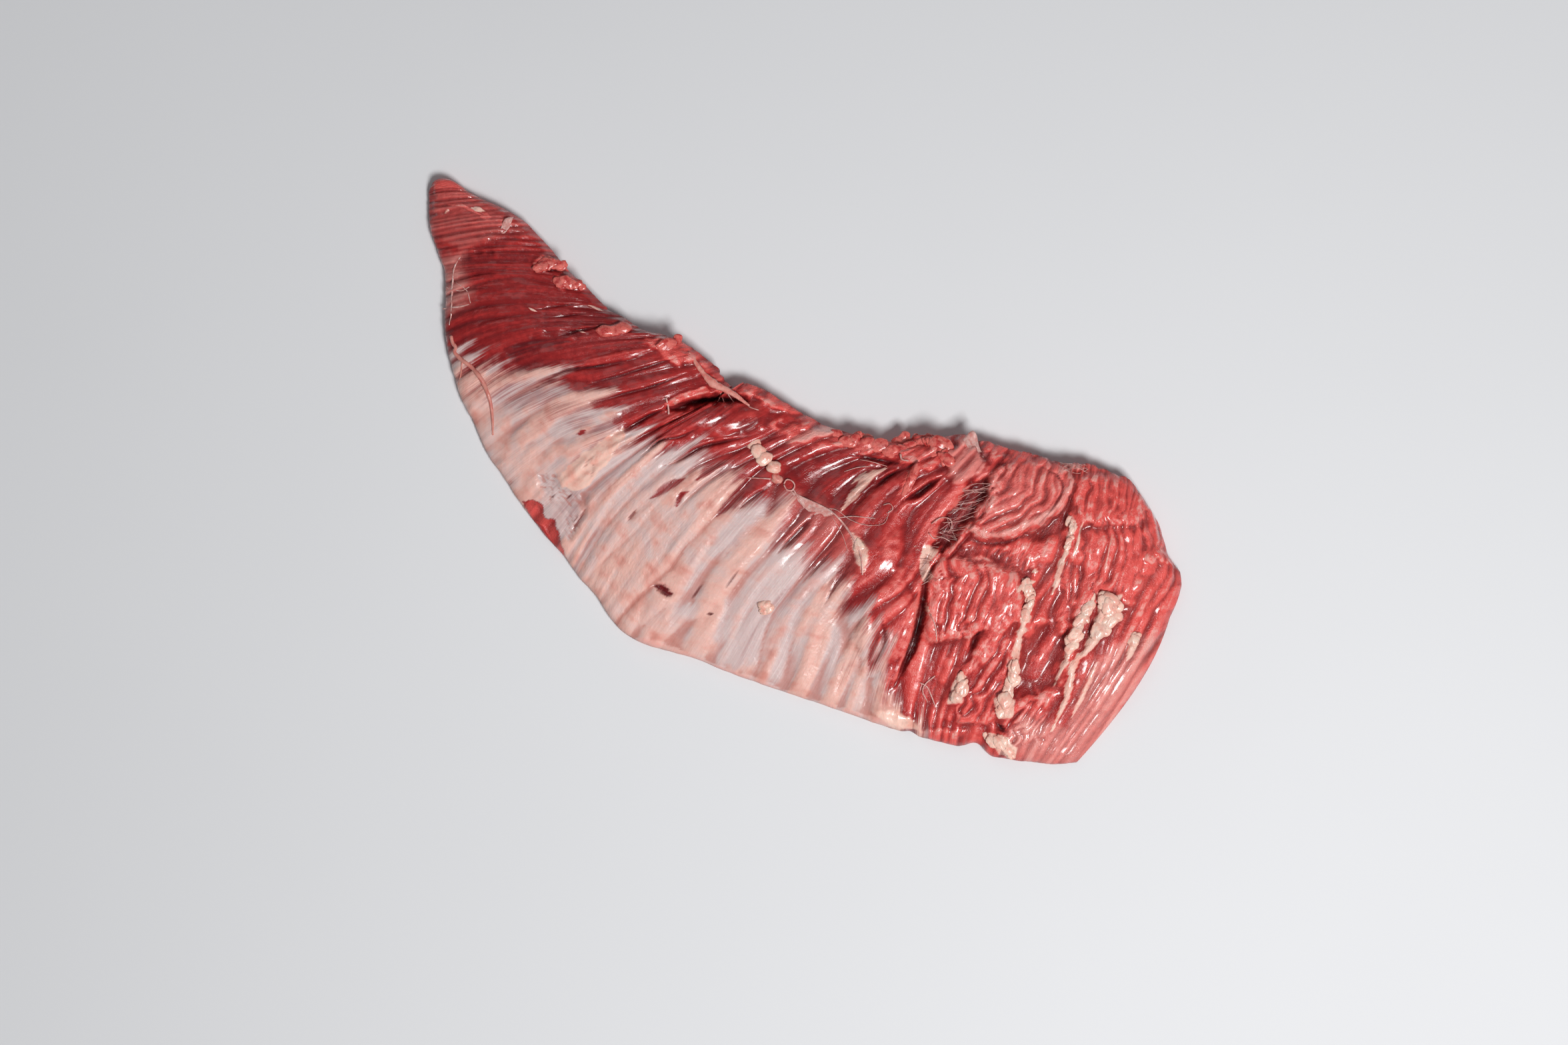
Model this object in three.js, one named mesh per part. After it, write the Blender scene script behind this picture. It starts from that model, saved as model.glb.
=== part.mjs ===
// A raw beef flap steak lying flat: one slab of coarse-grained muscle, narrow at one end and broad
// at the other, thin along its outer edge and thick along its inner edge.
//
// Every place on the steak is given by two grain coordinates. `line` counts the grain lines below,
// from 0 at the narrow tip to 20 at the broad end. `across` runs along a line, from 0 at the outer
// edge to 1 at the inner edge. The muscle's bundles follow the lines, so its ridges, gashes and
// fat are placed with the same two numbers.
//
// Millimetres. +Z is up, the rest face is on z = 0, and the origin is the middle of the footprint.

import * as THREE from 'three';

// ---------------------------------------------------------------- driving dimensions

// The grain lines. Each gives the outer and the inner end in X and Y, the directions in which the
// line leaves the outer edge and reaches the inner edge in degrees from +X, and the slab's height
// beside the outer edge, at the crown and beside the inner edge.
const GRAIN_LINES = [
  { outer: [-180, 138], inner: [-167, 138], leaves: 52, reaches: -42, rise: [6, 8, 6] },
  { outer: [-182, 131], inner: [-156, 132], leaves: 8, reaches: -4, rise: [7, 11, 8] },
  { outer: [-181, 115], inner: [-132, 119], leaves: 8, reaches: 0, rise: [9, 15, 10] },
  { outer: [-175, 98], inner: [-114, 99], leaves: 8, reaches: -4, rise: [9, 17, 12] },
  { outer: [-174, 83], inner: [-101, 86], leaves: 20, reaches: -4, rise: [9, 18, 13] },
  { outer: [-174, 64], inner: [-88, 75], leaves: 32, reaches: 0, rise: [8, 19, 13] },
  { outer: [-170, 47], inner: [-74, 67], leaves: 38, reaches: -2, rise: [7, 20, 14] },
  { outer: [-163, 28], inner: [-56, 62], leaves: 38, reaches: 8, rise: [6, 20, 15] },
  { outer: [-151, 4], inner: [-39, 50], leaves: 40, reaches: 18, rise: [6, 21, 15] },
  { outer: [-135, -19], inner: [-33, 41], leaves: 46, reaches: 30, rise: [6, 21, 13] },
  { outer: [-117, -42], inner: [-24, 43], leaves: 58, reaches: 34, rise: [6, 21, 14] },
  { outer: [-103, -59], inner: [1, 28], leaves: 58, reaches: 22, rise: [6, 21, 14] },
  { outer: [-84, -81], inner: [25, 18], leaves: 60, reaches: 14, rise: [6, 22, 14] },
  { outer: [-50, -93], inner: [52, 14], leaves: 58, reaches: 30, rise: [6, 22, 14] },
  { outer: [-18, -105], inner: [80, 18], leaves: 62, reaches: 46, rise: [6, 23, 15] },
  { outer: [15, -116], inner: [98, 12], leaves: 68, reaches: 52, rise: [7, 23, 16] },
  { outer: [46, -126], inner: [112, 9], leaves: 86, reaches: 54, rise: [8, 23, 16] },
  { outer: [70, -133], inner: [126, 6], leaves: 86, reaches: 66, rise: [9, 23, 16] },
  { outer: [94, -139], inner: [140, 3], leaves: 74, reaches: 84, rise: [9, 23, 15] },
  { outer: [112, -142], inner: [155, -2], leaves: 62, reaches: 104, rise: [8, 20, 13] },
  { outer: [131, -142], inner: [169, -22], leaves: 48, reaches: 124, rise: [6, 11, 8] },
];
const LAST_LINE = GRAIN_LINES.length - 1;
const LINE_REACH = 0.38; // length of a grain line's end handles, as a share of its chord
const CROWN_AT = 0.62; // where the slab is highest, in `across`

const RIM_SHARE = 0.45; // height of the widest outline, as a share of the slab's height there
const FOOT_TUCK = 2.4; // how far the underside is drawn in from the widest outline
const SHOULDER = 0.8; // radius of the edge's rounding, as a share of the height beside it

// Muscle bundles, seen as rounded ridges with narrow grooves between them.
const LINE_SPACING = 21.5; // mean distance between two grain lines
const BUNDLE_WIDTH = 8.6;
const BUNDLE_RELIEF = { fascia: 0.9, meat: 1.9, openEnd: 2.1 };
const BUNDLE_WANDER = 0.55; // sideways wander of a bundle, in bundle widths
const LUMP_RELIEF = 0.9; // slow unevenness of the whole slab
const LUMP_WIDTH = 34;

// Raggedness of the two long edges: how far the cut wanders inwards.
const OUTER_RAG = { depth: 1.0, width: 12 };
const INNER_RAG = { depth: 2.6, width: 8 };

// Notches in the long edges, each at a grain line.
const OUTER_NOTCHES = [
  { name: 'below the end gash', line: 17.5, width: 15, depth: 3.5 },
  { name: 'below the seam', line: 16.2, width: 8, depth: 1.2 },
];
const INNER_NOTCHES = [
  { name: 'mouth of the main gash', line: 9.2, width: 9, depth: 6 },
  { name: 'end of the inner crease', line: 13.1, width: 12, depth: 2 },
  { name: 'behind the inner flap', line: 14.2, width: 10, depth: 2.5 },
];

// The step in the broad end's outline: how far the last grain line is moved outwards at `across`.
const END_STEP = {
  at: [0, 0.6, 0.74, 0.795, 0.825, 0.9, 0.95, 1],
  out: [0, 0, 3.6, 3.4, -3, -3.4, -1.5, 0],
  fromLine: 18.8, // the grain line from which the lines give way to the step
};

// Where the steak has opened up: gashes along the grain and hollows between the bundles.
// A path's points are [line, across].
const GASHES = [
  { name: 'main gash', path: [[9.0, 0.5], [9.25, 0.7], [9.3, 0.85], [9.2, 1.02]], width: 5.5, depth: 11 },
  { name: 'second gash', path: [[10.7, 0.5], [10.75, 0.66], [10.7, 0.82]], width: 3.2, depth: 4 },
  { name: 'seam', path: [[16.0, 0.08], [15.95, 0.3], [15.8, 0.45], [15.6, 0.56]], width: 5, depth: 8 },
  { name: 'torn pocket', path: [[15.6, 0.56], [15.5, 0.7], [15.75, 0.84]], width: 9, depth: 9 },
  { name: 'upper slit', path: [[14.7, 0.7], [14.85, 0.86]], width: 4, depth: 7 },
  { name: 'inner crease', path: [[12.6, 0.86], [13.8, 0.85]], width: 4, depth: 4 },
  { name: 'flap slit', path: [[16.95, 0.3], [17.0, 0.43]], width: 4, depth: 5 },
  { name: 'end gash', path: [[17.8, 0.06], [18.1, 0.17]], width: 6, depth: 6 },
  { name: 'deep valley', path: [[18.0, 0.2], [18.0, 0.45], [18.6, 0.62]], width: 13, depth: 5 },
  { name: 'corner break', path: [[18.4, 0.74], [19.3, 0.6], [20.0, 0.66]], width: 8, depth: 3.5 },
  { name: 'shelf break', path: [[15.9, 0.66], [16.9, 0.66], [17.9, 0.75]], width: 8, depth: 4 },
  { name: 'foot of the upper fibres', path: [[17.9, 0.83], [19.2, 0.85]], width: 6, depth: 2.5 },
];

// Raised places: folds of loose muscle, and the larger lumps of fat.
const SWELLS = [
  { name: 'lower lip of the main gash', path: [[9.65, 0.55], [9.75, 0.9]], width: 13, height: 3 },
  { name: 'arched fold', path: [[16.1, 0.72], [17.3, 0.76], [18.0, 0.9]], width: 9, height: 3 },
  { name: 'wavy fold', path: [[16.6, 0.3], [16.7, 0.58]], width: 12, height: 2.5 },
  { name: 'shelf of slabs', path: [[16.1, 0.5], [16.9, 0.55]], width: 20, height: 2.5 },
  { name: 'upper fibres', path: [[18.0, 0.9], [19.0, 0.92]], width: 12, height: 1.8 },
  { name: 'end fat', path: [[18.9, 0.28], [18.9, 0.5]], width: 12, height: 2.5 },
  { name: 'inner flap', path: [[14.3, 0.97], [14.9, 0.88]], width: 12, height: 3.5 },
  { name: 'fat nodule', path: [[13.35, 0.28], [13.4, 0.29]], width: 10, height: 4 },
  { name: 'fat beads', path: [[11.35, 0.68], [11.7, 0.61]], width: 8, height: 2 },
];

// The mesh: steps along the steak and across it, closest together beside the edges.
const STEPS_ALONG = 190;
const STEPS_ACROSS = 20;
const EDGE_CROWDING = 0.45; // 0 spaces the steps evenly, 1 crowds them most at the edges
const EDGE_LIMIT = 0.2; // most of a grain line that a ragged edge may take
const LEAST_HEIGHT = 0.27; // least that a gash leaves, as a share of the slab's height

// ---------------------------------------------------------------- small tools

const { clamp, lerp, degToRad, smoothstep } = THREE.MathUtils;

/** Value of the smooth curve through `values` at the position `at`, where value k is at k. */
function through(values, at) {
  const k = Math.min(Math.floor(at), values.length - 2);
  const f = at - k;
  const b = values[k];
  const c = values[k + 1];
  const a = k > 0 ? values[k - 1] : 2 * b - c;
  const d = k + 2 < values.length ? values[k + 2] : 2 * c - b;
  const slope = (c - a) * f;
  const bend = (2 * a - 5 * b + 4 * c - d) * f * f;
  const turn = (3 * b - a - 3 * c + d) * f * f * f;
  return 0.5 * (2 * b + slope + bend + turn);
}

/** A number from 0 to 1 that belongs to the whole-number cell (i, j). */
function cellValue(i, j) {
  const s = Math.sin(i * 127.1 + j * 311.7) * 43758.5453;
  return s - Math.floor(s);
}

/** Smooth noise from -1 to 1, with one random value in each unit cell. */
function noise(x, y) {
  const i = Math.floor(x);
  const j = Math.floor(y);
  const fx = smoothstep(x - i, 0, 1);
  const fy = smoothstep(y - j, 0, 1);
  const low = lerp(cellValue(i, j), cellValue(i + 1, j), fx);
  const high = lerp(cellValue(i, j + 1), cellValue(i + 1, j + 1), fx);
  return 2 * lerp(low, high, fy) - 1;
}

/** Value at x of the straight-line curve through the points (xs, ys). */
function between(xs, ys, x) {
  let k = 1;
  while (k < xs.length - 1 && x > xs[k]) k++;
  const share = clamp((x - xs[k - 1]) / (xs[k] - xs[k - 1]), 0, 1);
  return lerp(ys[k - 1], ys[k], share);
}

/** Distance from the point p to the polyline through `points`. */
function distanceToPath(p, points) {
  let nearest = Infinity;
  for (let k = 1; k < points.length; k++) {
    const leg = points[k].clone().sub(points[k - 1]);
    const share = clamp(p.clone().sub(points[k - 1]).dot(leg) / leg.lengthSq(), 0, 1);
    nearest = Math.min(nearest, p.distanceTo(points[k - 1].clone().addScaledVector(leg, share)));
  }
  return nearest;
}

// ---------------------------------------------------------------- the grain's coordinates

const column = (pick) => GRAIN_LINES.map(pick);
const OUTER_X = column((g) => g.outer[0]);
const OUTER_Y = column((g) => g.outer[1]);
const INNER_X = column((g) => g.inner[0]);
const INNER_Y = column((g) => g.inner[1]);
const LEAVES = column((g) => g.leaves);
const REACHES = column((g) => g.reaches);
const OUTER_RISE = column((g) => g.rise[0]);
const CROWN_RISE = column((g) => g.rise[1]);
const INNER_RISE = column((g) => g.rise[2]);

/** The grain line at a position between the listed ones, as a curve from edge to edge. */
function grainLine(line) {
  const outer = new THREE.Vector2(through(OUTER_X, line), through(OUTER_Y, line));
  const inner = new THREE.Vector2(through(INNER_X, line), through(INNER_Y, line));
  const handle = LINE_REACH * outer.distanceTo(inner);
  const leaves = degToRad(through(LEAVES, line));
  const reaches = degToRad(through(REACHES, line));
  const fromOuter = new THREE.Vector2(Math.cos(leaves), Math.sin(leaves)).multiplyScalar(handle);
  const toInner = new THREE.Vector2(Math.cos(reaches), Math.sin(reaches)).multiplyScalar(handle);
  return new THREE.CubicBezierCurve(outer, outer.clone().add(fromOuter), inner.clone().sub(toInner), inner);
}

/** Length of the steak's cross-section along a grain line. */
function widthAt(line) {
  return grainLine(line).v0.distanceTo(grainLine(line).v3);
}

/** The plan position of grain coordinates, with the step in the broad end's outline. */
function placeAt(line, across) {
  const share = smoothstep(line, END_STEP.fromLine, LAST_LINE);
  const out = share * between(END_STEP.at, END_STEP.out, across);
  return grainLine(line + out / LINE_SPACING).getPoint(across);
}

const placed = (features) =>
  features.map((f) => ({ ...f, points: f.path.map(([line, across]) => placeAt(line, clamp(across, 0, 1))) }));
const gashes = placed(GASHES);
const swells = placed(SWELLS);

// ---------------------------------------------------------------- the slab's height

/** Height of the plain slab, before the edge is rounded and the relief is added. */
function slabHeight(line, across) {
  const crown = through(CROWN_RISE, line);
  if (across < CROWN_AT) {
    return lerp(through(OUTER_RISE, line), crown, Math.sin((Math.PI / 2) * (across / CROWN_AT)));
  }
  const fall = (across - CROWN_AT) / (1 - CROWN_AT);
  return lerp(through(INNER_RISE, line), crown, Math.cos((Math.PI / 2) * fall * fall));
}

/** How much of the height is left at a distance from an edge that is `rise` high. */
function edgeRounding(distance, rise) {
  const radius = SHOULDER * rise;
  const inside = clamp(1 - distance / radius, 0, 1);
  return RIM_SHARE + (1 - RIM_SHARE) * Math.sqrt(1 - inside * inside);
}

/** Rounded ridges of the muscle bundles, from -1 in a groove to 0 on a crest. */
function bundles(line, across) {
  const along = (line * LINE_SPACING) / BUNDLE_WIDTH;
  const wander = BUNDLE_WANDER * noise(along * 0.6, across * 3.1 + 7);
  return Math.abs(Math.sin(Math.PI * (along + wander))) - 1;
}

/** The share of the open, broken muscle of the broad end: 0 before the seam and 1 past it. */
const openEndShare = (line) => smoothstep(line, 15.4, 16.6);

/** The share of red meat at a place: 0 under the smooth fascia of the outer half, 1 elsewhere. */
function meatShare(line, across) {
  const fasciaEdge = 0.62 * smoothstep(line, 5.2, 8) * (1 - smoothstep(line, 12.5, 16.5));
  return smoothstep(across, fasciaEdge - 0.12, fasciaEdge + 0.12);
}

/** Ridges, unevenness, gashes and swells together, added to the slab's height. */
function relief(line, across, point) {
  const meat = lerp(BUNDLE_RELIEF.fascia, BUNDLE_RELIEF.meat, meatShare(line, across));
  const ridge = lerp(meat, BUNDLE_RELIEF.openEnd, openEndShare(line)) * bundles(line, across);
  let height = ridge + LUMP_RELIEF * noise(point.x / LUMP_WIDTH, point.y / LUMP_WIDTH);
  for (const g of gashes) {
    const share = 1 - clamp((2 * distanceToPath(point, g.points)) / g.width, 0, 1);
    height -= g.depth * smoothstep(share, 0, 1);
  }
  for (const s of swells) {
    const share = 1 - clamp((2 * distanceToPath(point, s.points)) / s.width, 0, 1);
    height += s.height * smoothstep(share, 0, 1);
  }
  return height;
}

// ---------------------------------------------------------------- the steak's surface

/** `across` of step j, with the steps crowded beside the two edges. */
function acrossOfStep(j) {
  const even = j / STEPS_ACROSS;
  return lerp(even, (1 - Math.cos(Math.PI * even)) / 2, EDGE_CROWDING);
}

/** How far an edge is drawn in at a grain line by its raggedness and its notches. */
function drawnIn(line, rag, notches) {
  const along = line * LINE_SPACING;
  let depth = (rag.depth * (noise(along / rag.width, rag.depth) + 1)) / 2;
  for (const n of notches) {
    const share = 1 - clamp((2 * Math.abs(line - n.line) * LINE_SPACING) / n.width, 0, 1);
    depth += n.depth * smoothstep(share, 0, 1);
  }
  return depth;
}

/** `across` on a grain line of the given width, once both edges are drawn in. */
function raggedAcross(line, across, width) {
  const outer = drawnIn(line, OUTER_RAG, OUTER_NOTCHES) / width;
  const inner = drawnIn(line, INNER_RAG, INNER_NOTCHES) / width;
  return lerp(Math.min(outer, EDGE_LIMIT), 1 - Math.min(inner, EDGE_LIMIT), across);
}

/** The point of the upper surface at step i along the steak and step j across it. */
function surfacePoint(i, j) {
  const line = (i / STEPS_ALONG) * LAST_LINE;
  const across = acrossOfStep(j);
  const width = widthAt(line);
  const place = placeAt(line, raggedAcross(line, across, width));
  const height = slabHeight(line, across);
  const fromOuter = edgeRounding(across * width, through(OUTER_RISE, line));
  const fromInner = edgeRounding((1 - across) * width, through(INNER_RISE, line));
  const fromTip = edgeRounding(line * LINE_SPACING, GRAIN_LINES[0].rise[1]);
  const fromEnd = edgeRounding((LAST_LINE - line) * LINE_SPACING, GRAIN_LINES[LAST_LINE].rise[1]);
  const rounding = fromOuter * fromInner * fromTip * fromEnd;
  const z = rounding * Math.max(height + relief(line, across, place), LEAST_HEIGHT * height);
  return new THREE.Vector3(place.x, place.y, z);
}

/** Steps (i, j) round the border of the surface, anticlockwise from above, each once. */
function borderSteps() {
  const steps = [];
  for (let i = 0; i < STEPS_ALONG; i++) steps.push([i, 0]);
  for (let j = 0; j < STEPS_ACROSS; j++) steps.push([STEPS_ALONG, j]);
  for (let i = STEPS_ALONG; i > 0; i--) steps.push([i, STEPS_ACROSS]);
  for (let j = STEPS_ACROSS; j > 0; j--) steps.push([0, j]);
  return steps;
}

/** The point of the underside's outline below border step (i, j): drawn in by the tuck, at z = 0. */
function footPoint(i, j) {
  const tuckLines = FOOT_TUCK / LINE_SPACING;
  const line = lerp(tuckLines, LAST_LINE - tuckLines, i / STEPS_ALONG);
  const width = widthAt(line);
  const tuck = FOOT_TUCK / width;
  const across = raggedAcross(line, lerp(tuck, 1 - tuck, acrossOfStep(j)), width);
  const place = placeAt(line, across);
  return new THREE.Vector3(place.x, place.y, 0);
}

/** The whole steak as one closed mesh: the upper surface, the wall below its border and the base. */
function steakGeometry() {
  const row = STEPS_ACROSS + 1;
  const points = [];
  for (let i = 0; i <= STEPS_ALONG; i++) {
    for (let j = 0; j <= STEPS_ACROSS; j++) points.push(surfacePoint(i, j));
  }
  const triangles = [];
  const quad = (a, b, c, d) => triangles.push(a, b, c, a, c, d);
  for (let i = 0; i < STEPS_ALONG; i++) {
    for (let j = 0; j < STEPS_ACROSS; j++) {
      const corner = i * row + j;
      quad(corner, corner + row, corner + row + 1, corner + 1);
    }
  }

  const border = borderSteps().map(([i, j]) => i * row + j);
  const foot = borderSteps().map(([i, j]) => footPoint(i, j));
  const firstFoot = points.length;
  points.push(...foot);
  border.forEach((index, k) => {
    const next = (k + 1) % border.length;
    quad(firstFoot + k, firstFoot + next, border[next], index);
  });

  const base = THREE.ShapeUtils.triangulateShape(foot.map((p) => new THREE.Vector2(p.x, p.y)), []);
  for (const [a, b, c] of base) triangles.push(firstFoot + a, firstFoot + c, firstFoot + b);

  const geometry = new THREE.BufferGeometry().setFromPoints(points);
  geometry.setIndex(triangles);
  geometry.computeVertexNormals();
  return geometry;
}

// ---------------------------------------------------------------- the object

const rawBeef = new THREE.MeshStandardMaterial({ color: 0x8e2a2c, roughness: 0.35, metalness: 0 });

const steak = new THREE.Mesh(steakGeometry(), rawBeef);
steak.name = 'flap_steak';

// The footprint's middle goes to the origin.
steak.geometry.computeBoundingBox();
const middle = steak.geometry.boundingBox.getCenter(new THREE.Vector3());
steak.position.set(-middle.x, -middle.y, 0);

const flapSteak = new THREE.Group();
flapSteak.name = 'raw_flap_steak';
flapSteak.add(steak);

export default flapSteak;
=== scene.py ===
"""A raw beef flap steak lying flat, modelled as one dressed mesh with its loose fat, strands and scraps.

Every place on the steak has two grain coordinates: `line` counts the grain lines from 0 at the narrow tip
to 20 at the broad end, and `across` runs along a line from 0 at the thin outer edge to 1 at the thick inner
edge. The relief follows them. Marks that belong to this one steak, such as a gash or a strip of fat, are
strokes and patches whose points are pixels of the photograph, turned into millimetres by `from_photo`.
Lengths are millimetres until a mesh is made, and metres in Blender.
"""

import logging
import math
from dataclasses import dataclass
from enum import Enum
from typing import Iterable, Sequence

import bpy
import numpy as np
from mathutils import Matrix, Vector
from mathutils.kdtree import KDTree


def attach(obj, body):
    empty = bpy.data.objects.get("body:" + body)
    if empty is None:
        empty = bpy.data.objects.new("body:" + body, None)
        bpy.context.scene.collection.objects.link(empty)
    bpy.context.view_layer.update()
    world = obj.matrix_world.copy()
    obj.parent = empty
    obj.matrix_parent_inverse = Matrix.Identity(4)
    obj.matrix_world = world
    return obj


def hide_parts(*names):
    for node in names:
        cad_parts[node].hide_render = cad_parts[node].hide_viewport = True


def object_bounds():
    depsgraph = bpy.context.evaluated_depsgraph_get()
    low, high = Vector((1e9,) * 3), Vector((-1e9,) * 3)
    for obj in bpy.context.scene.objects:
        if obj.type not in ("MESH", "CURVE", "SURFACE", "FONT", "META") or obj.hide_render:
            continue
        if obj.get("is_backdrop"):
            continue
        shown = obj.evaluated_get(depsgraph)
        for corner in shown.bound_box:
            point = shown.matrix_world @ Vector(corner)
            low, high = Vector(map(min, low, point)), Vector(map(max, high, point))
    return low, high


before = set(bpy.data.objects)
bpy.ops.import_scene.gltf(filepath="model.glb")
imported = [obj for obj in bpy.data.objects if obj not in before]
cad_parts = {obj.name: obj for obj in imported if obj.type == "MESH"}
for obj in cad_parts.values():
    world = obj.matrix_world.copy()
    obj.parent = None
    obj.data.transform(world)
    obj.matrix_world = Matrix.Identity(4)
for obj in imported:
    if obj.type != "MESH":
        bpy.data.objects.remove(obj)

LOG = logging.getLogger("flap_steak")
MM = 0.001
NODE = "flap_steak"
BODY = "root"

Array = np.ndarray
Pixels = tuple[tuple[float, float], ...]

GRAIN_MAP = "grain"
GRAIN_MAP_MM = 100.0  # millimetres in one unit of the grain map


def new_piece(name: str, points: Array, faces: Sequence[Sequence[int]]) -> bpy.types.Object:
    """An object in the scene, shaded smooth, from points in millimetres and faces that count them."""
    mesh = bpy.data.meshes.new(name)
    mesh.from_pydata((points * MM).tolist(), [], faces)
    mesh.polygons.foreach_set("use_smooth", np.ones(len(mesh.polygons), bool))
    mesh.update()
    piece = bpy.data.objects.new(name, mesh)
    bpy.context.collection.objects.link(piece)
    return piece


# --- the photograph's scale

PHOTO_WIDTH_PX, PHOTO_HEIGHT_PX = 2352, 1568
PIXEL_MM = 0.32  # one pixel of the photograph on the steak
PLAN_ZERO_PX = (1206, 705)  # the pixel at the origin of the plan


def from_photo(points: Iterable[Sequence[float]]) -> Array:
    """Plan positions in millimetres of pixels of the photograph.

    Args:
        points: (x, y) pixels, y down.

    Returns:
        An array of (x, y) in millimetres, y up.
    """
    px = np.asarray(list(points), float)
    return (px - PLAN_ZERO_PX) * (PIXEL_MM, -PIXEL_MM)


# --- numbers and noise


def smooth(x: Array, low: float, high: float) -> Array:
    """0 below low, 1 above high, and a smooth step between them."""
    f = np.clip((x - low) / (high - low), 0, 1)
    return f * f * (3 - 2 * f)


def mix(a: Array, b: Array, share: Array) -> Array:
    """a where share is 0, b where it is 1."""
    return a + (b - a) * share


def through(values: Sequence[float], at: Array) -> Array:
    """The smooth curve through `values`, where value k is at k.

    Args:
        values: The values on the whole numbers.
        at: Positions from 0 to len(values) - 1.

    Returns:
        The curve's value at each position.
    """
    v = np.asarray(values, float)
    k = np.clip(np.floor(at).astype(int), 0, len(v) - 2)
    f = at - k
    b, c = v[k], v[k + 1]
    a = np.where(k > 0, v[k - 1], 2 * b - c)
    d = np.where(k + 2 < len(v), v[np.minimum(k + 2, len(v) - 1)], 2 * c - b)
    bend = 2 * a - 5 * b + 4 * c - d
    turn = 3 * b - a - 3 * c + d
    return 0.5 * (2 * b + (c - a) * f + bend * f**2 + turn * f**3)


HASH_TURNS = (127.1, 311.7)
HASH_SPREAD = 43758.5453
LAYER_SHIFT = (17.3, -9.1)  # moves each layer of noise away from the one before


def cell_value(i: Array, j: Array) -> Array:
    """A number from 0 to 1 that belongs to the whole-number cell (i, j)."""
    s = np.sin(i * HASH_TURNS[0] + j * HASH_TURNS[1]) * HASH_SPREAD
    return s - np.floor(s)


def noise(x: Array, y: Array) -> Array:
    """Smooth noise from -1 to 1 with one random value in each unit cell."""
    i, j = np.floor(x), np.floor(y)
    fx, fy = smooth(x - i, 0, 1), smooth(y - j, 0, 1)
    low = mix(cell_value(i, j), cell_value(i + 1, j), fx)
    high = mix(cell_value(i, j + 1), cell_value(i + 1, j + 1), fx)
    return 2 * mix(low, high, fy) - 1


def layered_noise(x: Array, y: Array, layers: int = 3) -> Array:
    """Noise in several layers, each twice as fine and half as strong, from about -1 to 1."""
    total = np.zeros_like(np.asarray(x, float))
    for k in range(layers):
        total = total + noise(x * 2**k + LAYER_SHIFT[0] * k, y * 2**k + LAYER_SHIFT[1] * k) / 2**k
    return total / (2 - 2 ** (1 - layers))


def lobes(x: Array, y: Array) -> Array:
    """Rounded lobes that touch in creases, one in each unit cell: 0 in a crease, 1 on a lobe."""
    i, j = np.floor(x), np.floor(y)
    nearest = np.full_like(x, 9.0)
    for a in (-1, 0, 1):
        for b in (-1, 0, 1):
            at_x = i + a + cell_value(i + a, j + b)
            at_y = j + b + cell_value(i + a + 31, j + b + 17)
            nearest = np.minimum(nearest, np.hypot(x - at_x, y - at_y))
    return np.sqrt(np.clip(1 - nearest**2, 0, 1))


# --- the grain's coordinates


@dataclass(frozen=True)
class GrainLine:
    """One grain line: its two ends, its directions there in degrees, and the slab's height along it."""

    outer: tuple[float, float]
    inner: tuple[float, float]
    leaves: float
    reaches: float
    rise: tuple[float, float, float]


GRAIN_LINES = (
    GrainLine((-180, 138), (-167, 138), 52, -42, (6, 8, 6)),
    GrainLine((-182, 131), (-156, 132), 8, -4, (7, 11, 8)),
    GrainLine((-181, 115), (-132, 119), 8, 0, (9, 15, 10)),
    GrainLine((-175, 98), (-114, 99), 8, -4, (9, 17, 12)),
    GrainLine((-174, 83), (-101, 86), 20, -4, (9, 18, 13)),
    GrainLine((-174, 64), (-88, 75), 32, 0, (8, 19, 13)),
    GrainLine((-170, 47), (-74, 67), 38, -2, (7, 20, 14)),
    GrainLine((-163, 28), (-56, 62), 38, 8, (6, 20, 15)),
    GrainLine((-151, 4), (-39, 50), 40, 18, (6, 21, 15)),
    GrainLine((-135, -19), (-33, 41), 46, 30, (6, 21, 13)),
    GrainLine((-117, -42), (-24, 43), 58, 34, (6, 21, 14)),
    GrainLine((-103, -59), (1, 28), 58, 22, (6, 21, 14)),
    GrainLine((-84, -81), (25, 18), 60, 14, (6, 22, 14)),
    GrainLine((-50, -93), (52, 14), 58, 30, (6, 22, 14)),
    GrainLine((-18, -105), (80, 18), 62, 46, (6, 23, 15)),
    GrainLine((15, -116), (98, 12), 68, 52, (7, 23, 16)),
    GrainLine((46, -126), (112, 9), 86, 54, (8, 23, 16)),
    GrainLine((70, -133), (126, 6), 86, 66, (9, 23, 16)),
    GrainLine((94, -139), (140, 3), 74, 84, (9, 23, 15)),
    GrainLine((112, -142), (155, -2), 62, 104, (8, 20, 13)),
    GrainLine((131, -142), (169, -22), 48, 124, (6, 11, 8)),
)
LAST_LINE = len(GRAIN_LINES) - 1
LINE_REACH = 0.38  # length of a grain line's end handles, as a share of its chord
LINE_SPACING = 21.5  # mean distance between two grain lines
CROWN_AT = 0.62  # where the slab is highest, in `across`
RIM_SHARE = 0.45  # height of the widest outline, as a share of the slab's height there
FOOT_TUCK = 2.4  # how far the underside is drawn in from the widest outline
SOLID_STEPS = (190, 20)  # the solid's steps along the steak and across it
SHOULDER = 0.8  # radius of the edge's rounding, as a share of the height beside it
INNER_SHOULDER, INNER_RIM_SHARE = 0.45, 0.78  # the same two beside the inner edge, where the cut is steeper


@dataclass(frozen=True)
class Rag:
    """Raggedness of a long edge: how far the cut wanders inwards, and how long a wander is."""

    depth: float
    width: float


@dataclass(frozen=True)
class Notch:
    """A notch in a long edge at a grain line."""

    line: float
    width: float
    depth: float


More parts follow.
